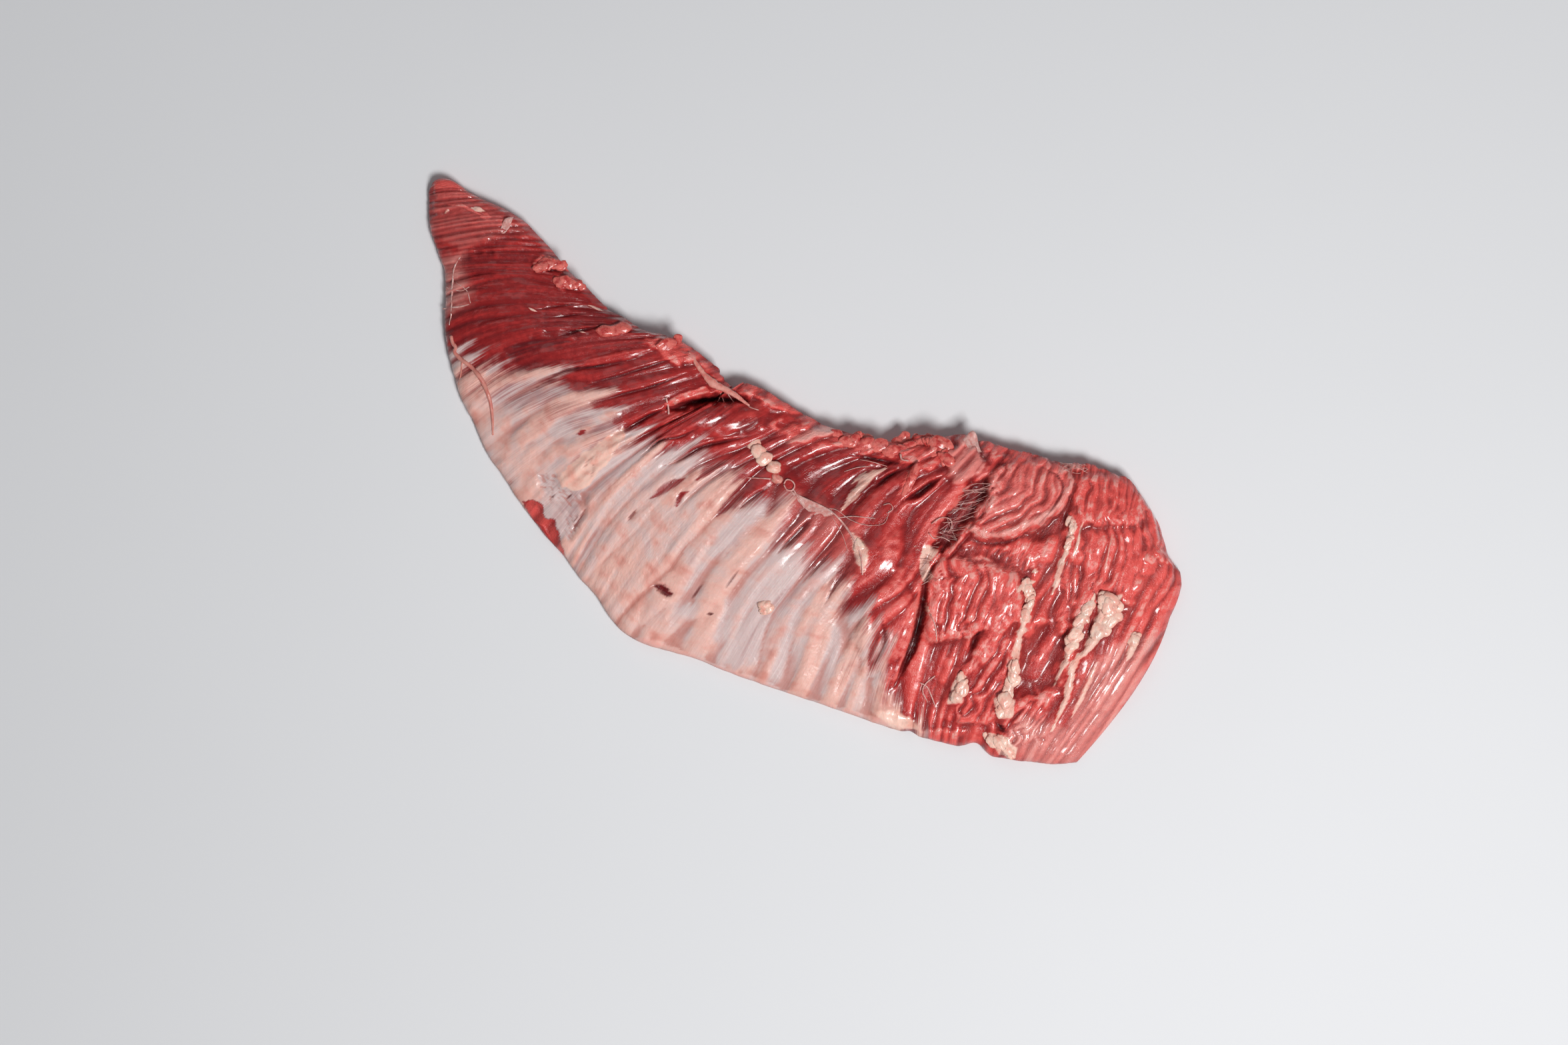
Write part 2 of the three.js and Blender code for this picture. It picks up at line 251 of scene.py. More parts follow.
OUTER_RAG = Rag(1.0, 12)
INNER_RAG = Rag(2.6, 8)
OUTER_NOTCHES = (Notch(17.5, 15, 3.5), Notch(16.2, 8, 1.2))
INNER_NOTCHES = (Notch(9.2, 9, 6), Notch(13.1, 12, 2), Notch(14.2, 10, 2.5))
EDGE_LIMIT = 0.2  # most of a grain line that a ragged edge may take

# The step in the broad end's outline: how far the last grain line is moved outwards at `across`.
END_STEP_AT = (0.0, 0.60, 0.74, 0.795, 0.825, 0.90, 0.95, 1.0)
END_STEP_OUT = (0.0, 0.0, 3.6, 3.4, -3.0, -3.4, -1.5, 0.0)
END_STEP_FROM = 18.8  # the grain line from which the lines give way to the step


def column(pick: str, part: int | None = None) -> list[float]:
    """One number of every grain line: the field named pick, or that part of it."""
    values = [getattr(g, pick) for g in GRAIN_LINES]
    return values if part is None else [v[part] for v in values]


class Grain:
    """Turns grain coordinates into places on the plan."""

    @staticmethod
    def ends(line: Array) -> tuple[Array, Array]:
        """The outer and the inner end of a grain line."""
        outer = np.stack([through(column("outer", 0), line), through(column("outer", 1), line)], -1)
        inner = np.stack([through(column("inner", 0), line), through(column("inner", 1), line)], -1)
        return outer, inner

    @classmethod
    def width(cls, line: Array) -> Array:
        """Length of the steak's cross-section along a grain line."""
        outer, inner = cls.ends(line)
        return np.linalg.norm(inner - outer, axis=-1)

    @classmethod
    def point(cls, line: Array, across: Array) -> Array:
        """Plan position of grain coordinates, as an array with (x, y) in its last axis."""
        out = np.interp(across, END_STEP_AT, END_STEP_OUT) * smooth(line, END_STEP_FROM, LAST_LINE)
        line = line + out / LINE_SPACING
        outer, inner = cls.ends(line)
        handle = (LINE_REACH * np.linalg.norm(inner - outer, axis=-1))[..., None]
        leaves = np.radians(through(column("leaves"), line))
        reaches = np.radians(through(column("reaches"), line))
        b = outer + handle * np.stack([np.cos(leaves), np.sin(leaves)], -1)
        c = inner - handle * np.stack([np.cos(reaches), np.sin(reaches)], -1)
        f = np.asarray(across)[..., None]
        g = 1 - f
        return g**3 * outer + 3 * g * g * f * b + 3 * g * f * f * c + f**3 * inner

    @staticmethod
    def drawn_in(line: Array, rag: Rag, notches: Sequence[Notch]) -> Array:
        """How far an edge is drawn in at a grain line by its raggedness and its notches."""
        depth = rag.depth * (noise(line * LINE_SPACING / rag.width, np.full_like(line, rag.depth)) + 1) / 2
        for n in notches:
            share = 1 - np.clip(2 * np.abs(line - n.line) * LINE_SPACING / n.width, 0, 1)
            depth = depth + n.depth * smooth(share, 0, 1)
        return depth

    @classmethod
    def ragged(cls, line: Array, across: Array) -> Array:
        """`across` once both edges are drawn in."""
        width = cls.width(line)
        outer = np.minimum(cls.drawn_in(line, OUTER_RAG, OUTER_NOTCHES) / width, EDGE_LIMIT)
        inner = np.minimum(cls.drawn_in(line, INNER_RAG, INNER_NOTCHES) / width, EDGE_LIMIT)
        return mix(outer, 1 - inner, across)


# --- strokes and patches


class Tissue(Enum):
    """What a mark paints: each is a mask on the steak's mesh."""

    FASCIA = "fascia"
    WARM = "warm"
    FAT = "fat"
    BRIGHT = "bright"
    # Painted shade in cuts, pockets, hollows and under flaps and folds, and the darker colour of mauve and
    # purple meat.
    DARK = "dark"
    VEIL = "veil"


class Profile(Enum):
    """The section of a stroke."""

    ROUND = "round"
    CUT = "cut"


STEEP_SIDE, GENTLE_SIDE = 1.5, 0.85  # how fast a cut rises to the left and to the right of its path
CUT_HOLLOWNESS = 0.75
LIP_AT, LIP_WIDTH = 1.6, 0.7  # the raised lip beside a cut, in half widths of the cut
LIP_SHARES = (1.3, 0.2)  # of a lip's height, on the steep side and on the gentle one
THIN_END = 0.3  # width of a stroke's ends, as a share of its width


@dataclass(frozen=True)
class Stroke:
    """A mark along a curve through pixels of the photograph.

    width and height are millimetres, and a height below 0 cuts. A cut is steep on the left of its path and
    gentle on the right, and lip raises the meat on its steep side.
    """

    name: str
    path: Pixels
    width: float
    height: float = 0.0
    tissue: Tissue | None = None
    amount: float = 1.0
    profile: Profile = Profile.ROUND
    ragged: float = 0.25
    lip: float = 0.0
    taper: float = 0.35


@dataclass(frozen=True)
class Patch:
    """An area inside a ring of pixels of the photograph, with an edge `soft` millimetres wide.

    `streaks` draws the edge out along the grain, by that many millimetres.
    """

    name: str
    ring: Pixels
    soft: float
    height: float = 0.0
    tissue: Tissue | None = None
    amount: float = 1.0
    streaks: float = 0.0
    streak_width: float = 3.5


@dataclass(frozen=True)
class Bundles:
    """Muscle bundles of one size, lying like shingles: each rises slowly to a steep lip over a groove.

    width and relief are millimetres, wander is in bundle widths, lip is the steep part's share of a bundle,
    and run is the length over which a groove comes and goes.
    """

    width: float
    relief: float
    wander: float
    lip: float
    run: float
    seed: float

    def place(self, s: Array, t: Array) -> Array:
        """Position across the bundles, where each whole number is a groove."""
        return s / self.width + self.wander * noise(s / self.width * 0.35 + self.seed, t / 38 + 7 + self.seed)

    def depth(self, groove: Array, t: Array) -> Array:
        """How deep a groove is at t, from about 0.1 to 1."""
        return 0.55 + 0.45 * noise(groove * 3.7 + self.seed, t / self.run)

    def height(self, s: Array, t: Array) -> Array:
        """Height at grain millimetres (s, t): 0 on a crest, and -relief in a deep groove."""
        u = self.place(s, t)
        low = np.floor(u)
        f = u - low
        rise = np.sin(np.pi / 2 * np.clip(f / (1 - self.lip), 0, 1)) ** 0.8
        fall = np.sqrt(np.clip((1 - f) / self.lip, 0, 1))
        return -self.relief * (self.depth(low, t) * (1 - rise) + self.depth(low + 1, t) * (1 - fall))

    def terraces(self, s: Array, t: Array, length: float) -> Array:
        """Broken ends: each bundle is raised or lowered in steps along the grain, from -1 to 1."""
        bundle = np.floor(self.place(s, t))
        at = t / length + 3 * cell_value(bundle, np.full_like(bundle, 5.0))
        cell = np.floor(at)
        here = cell_value(bundle, cell)
        after = cell_value(bundle, cell + 1)
        return 2 * mix(here, after, smooth(at - cell, 0.88, 1.0)) - 1


@dataclass(frozen=True)
class Comb:
    """An area where fibres run along a path of their own instead of along the grain lines.

    Their steep lips are on the right of the path. soft and lift are millimetres.
    """

    name: str
    ring: Pixels
    path: Pixels
    bundles: Bundles
    soft: float = 2.0
    lift: float = 0.0
    turns_grain: bool = True


COMB_LUMPS = 5  # length of a comb's unevenness
COMB_UNEVEN, COMB_RAGGED = 1.1, 2.4  # how much it moves the surface, and the comb's outline
COMB_SPLITS = 1.7  # how much deeper a comb's splits are than the broad end's


def smooth_path(points: Array, steps: int = 5) -> Array:
    """A smooth curve through plan points, as a finer polyline."""
    if len(points) < 3:
        return points
    at = np.linspace(0, len(points) - 1, (len(points) - 1) * steps + 1)
    return np.stack([through(points[:, 0], at), through(points[:, 1], at)], -1)


@dataclass(frozen=True)
class Nearest:
    """Where places lie beside a polyline: distance, side (-1 left, 1 right), position along it, length."""

    distance: Array
    side: Array
    along: Array
    length: float


def nearest_on(path: Array, places: Array) -> Nearest:
    """Finds the nearest point of a polyline for each place.

    Args:
        path: The polyline's points.
        places: Plan positions.

    Returns:
        How the places lie beside the polyline, in millimetres.
    """
    best = np.full(len(places), 1e9)
    along = np.zeros(len(places))
    side = np.ones(len(places))
    run = 0.0
    for a, b in zip(path[:-1], path[1:]):
        leg = b - a
        size = float(np.hypot(*leg)) or 1e-9
        away = places - a
        share = np.clip(away @ leg / size**2, 0, 1)
        distance = np.linalg.norm(away - share[:, None] * leg, axis=1)
        closer = distance < best
        best = np.where(closer, distance, best)
        along = np.where(closer, run + share * size, along)
        side = np.where(closer, np.sign(away[:, 1] * -leg[0] + away[:, 0] * leg[1]), side)
        run += size
    return Nearest(best, side, along, run)


def inside_ring(ring: Array, places: Array) -> Array:
    """True for each place inside a closed ring of plan points."""
    inside = np.zeros(len(places), bool)
    x, y = places[:, 0], places[:, 1]
    for (ax, ay), (bx, by) in zip(ring, np.roll(ring, -1, axis=0)):
        if ay == by:
            continue
        crosses = (ay > y) != (by > y)
        inside ^= crosses & (x < (bx - ax) * (y - ay) / (by - ay) + ax)
    return inside


def depth_inside(ring: Array, places: Array) -> Array:
    """How far each place lies inside a closed ring of plan points, and below 0 outside it."""
    distance = nearest_on(np.vstack([ring, ring[:1]]), places).distance
    return np.where(inside_ring(ring, places), distance, -distance)


class Canvas:
    """The steak's upper surface as flat arrays: plan places, grain millimetres, heights and masks."""

    def __init__(self, places: Array, along: Array, across: Array) -> None:
        """Starts an empty surface.

        Args:
            places: Plan positions, one row each.
            along: Position along the steak in grain millimetres.
            across: Position along the grain in millimetres.
        """
        self.places = places
        self.along = along
        self.across = across
        self.height = np.zeros(len(places))
        self.masks = {t: np.zeros(len(places)) for t in Tissue}

    def near(self, points: Array, margin: float) -> Array:
        """Indices of the places inside the box round points, with a margin."""
        low, high = points.min(0) - margin, points.max(0) + margin
        return np.nonzero(((self.places >= low) & (self.places <= high)).all(1))[0]

    def paint(self, where: Array, tissue: Tissue | None, share: Array, amount: float) -> None:
        """Moves a mask towards amount by a share."""
        if tissue is not None:
            mask = self.masks[tissue]
            mask[where] = mix(mask[where], amount, np.clip(share, 0, 1))

    def stroke(self, s: Stroke) -> None:
        """Adds one stroke to the heights and masks."""
        path = smooth_path(from_photo(s.path))
        where = self.near(path, s.width * 1.6)
        places = self.places[where]
        near = nearest_on(path, places)
        ends = np.minimum(near.along, near.length - near.along) / near.length
        thin = THIN_END + (1 - THIN_END) * smooth(ends, 0, s.taper)
        wander = 1 + s.ragged * layered_noise(places[:, 0] / 2.2, places[:, 1] / 2.2, 2)
        x = 2 * near.distance / (s.width * thin * wander)
        left = near.side < 0
        if s.profile is Profile.CUT:
            x = x * np.where(left, STEEP_SIDE, GENTLE_SIDE)
            share = np.clip(1 - x, 0, 1) ** CUT_HOLLOWNESS
            reach = 0.85
        else:
            share = np.sqrt(np.clip(1 - x * x, 0, 1))
            reach = 1.1
        self.height[where] += s.height * share * thin
        if s.lip:
            raised = np.exp(-(((x - LIP_AT) / LIP_WIDTH) ** 2))
            self.height[where] += s.lip * thin * raised * np.where(left, *LIP_SHARES)
        amount = s.amount * thin if s.tissue is Tissue.DARK else s.amount
        self.paint(where, s.tissue, smooth(reach - x, 0, 0.6), amount)

    def comb(self, c: Comb) -> None:
        """Lays one area's own fibres over the relief, and turns the grain there."""
        ring = from_photo(c.ring)
        where = self.near(ring, c.soft)
        places = self.places[where]
        uneven = layered_noise(places[:, 0] / COMB_LUMPS, places[:, 1] / COMB_LUMPS, 3)
        near = nearest_on(smooth_path(from_photo(c.path)), places)
        run, aside = near.along, near.side * near.distance
        wave = 1.1 * np.sin(run / 3.6 + 4 * noise(aside / 14, run / 16)) + 2.0 * noise(aside / 7, run / 9)
        splits = COMB_SPLITS * END_SPLITS.height(aside + wave, run)
        relief = c.lift + c.bundles.height(aside + wave, run) + splits + COMB_UNEVEN * uneven
        share = smooth(depth_inside(ring, places) + COMB_RAGGED * uneven, -c.soft / 2, c.soft / 2)
        self.height[where] = mix(self.height[where], relief, share)
        if not c.turns_grain:
            return
        middle = self.along[where].mean(), self.across[where].mean()
        self.along[where] = mix(self.along[where], middle[0] + aside - aside.mean(), share)
        self.across[where] = mix(self.across[where], middle[1] + run - run.mean(), share)

    def patch(self, p: Patch) -> None:
        """Adds one patch to the heights and masks."""
        ring = from_photo(p.ring)
        where = self.near(ring, p.soft + p.streaks)
        places = self.places[where]
        signed = depth_inside(ring, places)
        signed = signed + min(p.soft, 4) * 0.6 * layered_noise(places[:, 0] / 3, places[:, 1] / 3, 2)
        if p.streaks:
            s, t = self.along[where], self.across[where]
            bent = s / p.streak_width + 0.3 * noise(s / 20, t / 30)
            signed = signed + p.streaks * layered_noise(bent, t / 60, 2)
        share = smooth(signed, -p.soft / 2, p.soft / 2)
        self.height[where] += p.height * share
        self.paint(where, p.tissue, share, p.amount)


# --- the marks of this steak

F, B, D, V, FAT, WARM = Tissue.FASCIA, Tissue.BRIGHT, Tissue.DARK, Tissue.VEIL, Tissue.FAT, Tissue.WARM


def slit(name: str, path: Pixels, width: float, depth: float, dark: float, lip: float = 0.0) -> Stroke:
    """A cut with painted shade inside it, with its meat raised by lip on the steep side."""
    return Stroke(name, path, width, -depth, D, dark, Profile.CUT, lip=lip)


SLABS = Bundles(5.0, 3.2, 1.0, 0.3, 22, 41.0)
FIBRES = Bundles(4.0, 2.5, 1.0, 0.35, 16, 47.0)

COMBS = (
    Comb("hanging fibres", ((1618, 788), (1706, 788), (1718, 830), (1708, 880), (1700, 902), (1600, 908),
        (1588, 870), (1600, 830)), ((1640, 905), (1652, 860), (1660, 820), (1655, 785)), SLABS, 2, 0.3),
    Comb("arched fold", ((1450, 796), (1478, 760), (1482, 716), (1500, 700), (1560, 690), (1600, 700),
        (1610, 730), (1598, 765), (1562, 792), (1520, 808), (1470, 808)), ((1436, 806), (1478, 790),
        (1520, 766), (1552, 735), (1568, 698)), SLABS, 2, 2.6),
    Comb("second shelf", ((1440, 814), (1475, 818), (1500, 812), (1540, 806), (1558, 814), (1552, 850),
        (1524, 858), (1496, 850), (1472, 840), (1440, 838)), ((1496, 860), (1504, 835), (1516, 806)),
        FIBRES, 1.5, 0.2),
    Comb("slab fibres", ((1424, 830), (1445, 840), (1475, 842), (1495, 852), (1526, 858), (1532, 930),
        (1500, 950), (1440, 958), (1392, 964), (1385, 900), (1400, 850)), ((1445, 965), (1450, 930),
        (1461, 895), (1468, 865), (1460, 840)), SLABS, 2, 2),
    Comb("upper fibres", ((1618, 716), (1650, 712), (1700, 722), (1728, 770), (1705, 788), (1620, 788),
        (1606, 750)), ((1664, 800), (1668, 770), (1674, 735), (1676, 712)), FIBRES, 3, 1.8),
    Comb("right edge fibres", ((1716, 770), (1740, 760), (1758, 800), (1760, 842), (1714, 842)),
        ((1740, 850), (1738, 810), (1728, 765)), FIBRES, 2, 0.6),
    Comb("leaning slabs", ((1466, 952), (1480, 946), (1512, 952), (1522, 1000), (1510, 1045), (1480, 1085),
        (1436, 1085), (1430, 1040), (1448, 1000)), ((1446, 1066), (1468, 1024), (1490, 985), (1506, 948)),
        SLABS, 2, 1),
    Comb("gash lip fibres", ((1510, 1104), (1524, 1066), (1545, 1050), (1574, 1048), (1570, 1080),
        (1552, 1106), (1520, 1118)), ((1512, 1116), (1526, 1085), (1550, 1048)), FIBRES, 2, 0.8),
)

CRINKLES = Bundles(2.6, 1.7, 1.2, 0.5, 6, 61.0)
CRINKLED_SKIN = Comb(
    "torn white skin",
    ((804, 708), (835, 708), (844, 731), (884, 739), (882, 764), (855, 812), (834, 778), (816, 746)),
    ((812, 712), (832, 742), (850, 772), (864, 800)),
    CRINKLES, soft=4, lift=-0.2, turns_grain=False,
)

SILVERSKIN = Patch(
    "silverskin of the outer half",
    (
        (650, 556), (700, 548), (770, 556), (835, 576), (900, 612), (935, 645), (1000, 688), (1050, 696),
        (1100, 722), (1150, 765), (1180, 795), (1215, 850), (1250, 875), (1285, 925), (1298, 962),
        (1280, 1010), (1330, 1045), (1375, 1085), (1420, 1150), (1280, 1120), (930, 1010), (700, 700),
        (620, 570),
    ),
    soft=25, tissue=F, streaks=13, streak_width=5.0,
)

# Marks that paint D darken the meat: in cuts, pockets, hollows and valleys and under flaps, folds and ledges
# this is painted shade, and on mauve and purple meat it is the meat's own colour.
PATCHES = (
    # the tip
    Patch("film over the tip ridges", ((650, 282), (700, 282), (790, 345), (700, 372), (640, 352)),
        5, 0, V, 0.2),
    Patch("cut slice at the tip", ((648, 256), (684, 262), (697, 282), (672, 279), (650, 282)),
        1.5, 0.8, B, 1.3),
    # Painted shadow on the lower strip beside the tip.
    Patch("dark strip beside the tip", ((630, 280), (650, 284), (648, 320), (640, 330)), 3, -1, D, 0.35),
    # Painted shade in the crease.
    Patch("crease of the tip", ((690, 392), (717, 368), (741, 359), (770, 345), (776, 352), (750, 370),
        (722, 382)), 8, -1.4, D, 0.42),
    Patch("shaded belly", ((695, 385), (800, 372), (790, 392), (725, 412), (693, 415)), 6, -0.4, D, 0.4),
    Patch("membrane of the left edge", ((652, 388), (694, 382), (690, 402), (702, 424), (708, 446),
        (690, 462), (656, 476)), 9, 0, V, 0.6),
    Patch("bright lumps", ((800, 395), (815, 384), (846, 392), (852, 404), (810, 408)), 2, 1.6, B, 0.55),
    Patch("bright lumps below", ((835, 414), (860, 412), (880, 430), (842, 436)), 2, 1.2, B, 0.5),
    Patch("mauve hollow", ((760, 528), (800, 508), (860, 494), (880, 503), (826, 520), (775, 545)),
        5, -0.8, D, 0.55),
    Patch("mauve belly", ((800, 480), (880, 455), (940, 470), (905, 492), (820, 500)), 6, -0.3, D, 0.35),
    Patch("torn coral flap", ((893, 496), (912, 492), (935, 484), (948, 494), (928, 503), (905, 506)),
        1.4, 1.6, B, 0.85),
    Patch("coral end by the gash", ((962, 512), (1000, 505), (1040, 520), (1058, 548), (1010, 548)),
        3, 1.2, B, 0.7),
    # the silverskin
    Patch("thin skin of the upper left", ((690, 562), (770, 562), (835, 582), (900, 620), (950, 668),
        (900, 668), (820, 628), (740, 600), (690, 590)), 12, 0, F, 0.72, streaks=6),
    Patch("fat with cracks", ((836, 716), (853, 698), (881, 677), (909, 655), (937, 640), (939, 657),
        (921, 683), (901, 705), (884, 729), (864, 735), (842, 732)), 2.4, 0.7, FAT, 0.9),
    Patch("torn white skin", ((806, 712), (833, 712), (842, 733), (882, 741), (880, 764), (853, 808),
        (836, 776), (818, 746)), 2.5, -0.6, WARM, 0),
    Patch("bright cut edge", ((780, 757), (797, 750), (810, 758), (814, 778), (829, 781), (836, 803),
        (846, 838), (833, 822), (814, 790), (790, 774)), 1, -1.2, B, 1),
    Patch("skin off the cut edge", ((780, 752), (797, 748), (812, 756), (816, 777), (831, 779), (848, 840),
        (820, 820)), 1.2, 0, F, 0),
    # Painted shade in the hole.
    Patch("hole in the skin", ((980, 878), (996, 877), (1006, 888), (1012, 891), (1001, 896), (987, 886)),
        0.9, -2.6, D, 0.7),
    Patch("skin off the hole", ((981, 879), (995, 878), (1005, 888), (1010, 891), (1001, 894)),
        0.8, 0, F, 0),
    Patch("warm skin at the corner", ((870, 850), (960, 880), (1010, 960), (1120, 1010), (1060, 1010),
        (920, 950)), 12, 0, WARM, 0.7, streaks=14),
    Patch("warm skin low", ((690, 600), (730, 590), (770, 640), (800, 740), (760, 740), (700, 640)),
        8, 0, WARM, 0.65, streaks=10),
    Patch("warm skin middle", ((880, 760), (980, 730), (1050, 760), (1090, 860), (1000, 850), (900, 830)),
        12, 0, WARM, 0.55, streaks=16),
    # the ridged middle
    # Painted shade in the gash's pocket.
    Patch("pocket of the main gash", ((1002, 614), (1025, 604), (1055, 596), (1090, 591), (1120, 594),
        (1118, 605), (1085, 607), (1050, 610), (1016, 619)), 3, -5, D, 0.4),
    Patch("red wall of the gash", ((998, 606), (1012, 596), (1060, 580), (1064, 588), (1030, 598),
        (1008, 611)), 1.2, 1, B, 0.75),
    Patch("lower lip of the gash", ((985, 640), (1010, 622), (1060, 614), (1105, 614), (1142, 606),
        (1145, 640), (1095, 655), (1045, 650), (1000, 668)), 7, 1.8),
    Patch("purple on the lip", ((1095, 620), (1140, 610), (1146, 640), (1110, 650)), 6, 0, D, 0.5),
    Patch("lump by the notch", ((1118, 588), (1124, 568), (1138, 566), (1158, 580), (1190, 612), (1212, 622),
        (1190, 622), (1150, 606)), 2.5, 2.2, B, 0.75),
    # Painted shade in the hollow.
    Patch("hollow of the inner edge", ((1180, 700), (1240, 682), (1330, 690), (1352, 700), (1318, 735),
        (1280, 770), (1230, 760), (1195, 730)), 14, -2.6, D, 0.3),
    Patch("coral inner edge", ((1150, 640), (1215, 630), (1300, 655), (1350, 660), (1350, 682), (1270, 676),
        (1190, 668)), 4, 0.8, B, 0.8, streaks=3),
    Patch("coral knots", ((1345, 655), (1412, 655), (1425, 670), (1400, 705), (1350, 695)), 3, 1.2, B, 0.6),
    Patch("web under the veil", ((1160, 735), (1230, 745), (1290, 800), (1295, 850), (1235, 900),
        (1190, 850), (1160, 790)), 8, 0, V, 0.25),
    Patch("smooth glossy belly", ((1262, 880), (1290, 830), (1350, 810), (1378, 880), (1366, 960),
        (1325, 1030), (1300, 980)), 16, 2.6, B, 0.45),
    # the open end
    # Painted shade in the torn pocket.
    Patch("torn pocket", ((1440, 748), (1456, 722), (1480, 716), (1481, 741), (1466, 757), (1453, 781),
        (1430, 812), (1412, 826), (1399, 818), (1418, 779)), 4, -6.5, D, 0.55),
    Patch("inner flap", ((1428, 728), (1418, 690), (1440, 656), (1456, 645), (1471, 650), (1480, 702),
        (1460, 716)), 3, 2.4, V, 0.45),
    # Painted shadow under the inner flap.
    Patch("under the inner flap", ((1459, 652), (1466, 652), (1478, 690), (1470, 688)), 1.5, -3, D, 0.7),
    Patch("pale film of the fold", ((1470, 716), (1500, 700), (1560, 692), (1600, 706), (1600, 745),
        (1560, 780), (1480, 800)), 8, 0, V, 0.25),
    # Painted shadow under the fold and in the band over the shelf.
    Patch("dark under the fold", ((1530, 800), (1562, 782), (1590, 760), (1606, 735), (1612, 760),
        (1590, 800), (1560, 812)), 6, -2.2, D, 0.4),
    Patch("dark over the shelf", ((1430, 812), (1470, 818), (1500, 826), (1530, 834), (1545, 856),
        (1524, 856), (1495, 847), (1470, 836), (1440, 834)), 5, -1.2, D, 0.35),
    # Painted shade in the two valleys.
    Patch("deep valley", ((1528, 968), (1560, 938), (1590, 928), (1602, 962), (1583, 1026), (1545, 1042),
        (1523, 1034)), 9, -4, D, 0.12),
    Patch("valley above", ((1545, 845), (1600, 835), (1640, 860), (1600, 925), (1550, 925)), 9, -2, D, 0.15),
    # Painted shadow under the ledge of the fibre ends.
    Patch("under the fibre ends", ((1616, 782), (1640, 790), (1662, 782), (1690, 787), (1714, 780),
        (1700, 799), (1672, 793), (1645, 801), (1620, 795)), 4, -1, D, 0.25),
    Patch("smooth film of the corner", ((1545, 1150), (1500, 1120), (1530, 1070), (1600, 1090), (1640, 990),
        (1700, 950), (1745, 960), (1690, 1060), (1640, 1150)), 6, 0, V, 0.8),
    Patch("fat at the end", ((1651, 893), (1680, 893), (1677, 922), (1663, 942), (1640, 966), (1622, 982),
        (1634, 945)), 2.6, 2.2, FAT, 0.95),
    Patch("fat by the flap slit", ((1437, 1010), (1450, 1036), (1441, 1055), (1421, 1055), (1426, 1032)),
        1.8, 1.4, FAT, 0.9),
    Patch("fat beside the end gash", ((1490, 1048), (1506, 1040), (1522, 1052), (1518, 1078), (1497, 1078)),
        1.6, 2, FAT, 0.95),
    Patch("fat of the lower edge", ((1310, 1068), (1350, 1066), (1372, 1080), (1380, 1098), (1340, 1094)),
        3, 0.8, FAT, 0.8),
    Patch("fat below the end gash", ((1478, 1096), (1510, 1106), (1528, 1124), (1520, 1142), (1500, 1134)),
        1.6, 0.8, FAT, 0.85),
    Patch("red lump of the lower edge", ((1380, 1100), (1412, 1092), (1446, 1096), (1440, 1122),
        (1415, 1126)), 2, 1.2, B, 0.7),
    Patch("pale fat in the seam", ((1383, 812), (1406, 826), (1394, 844), (1398, 866), (1384, 876),
        (1378, 850)), 1.6, -0.5, FAT, 0.95),
)
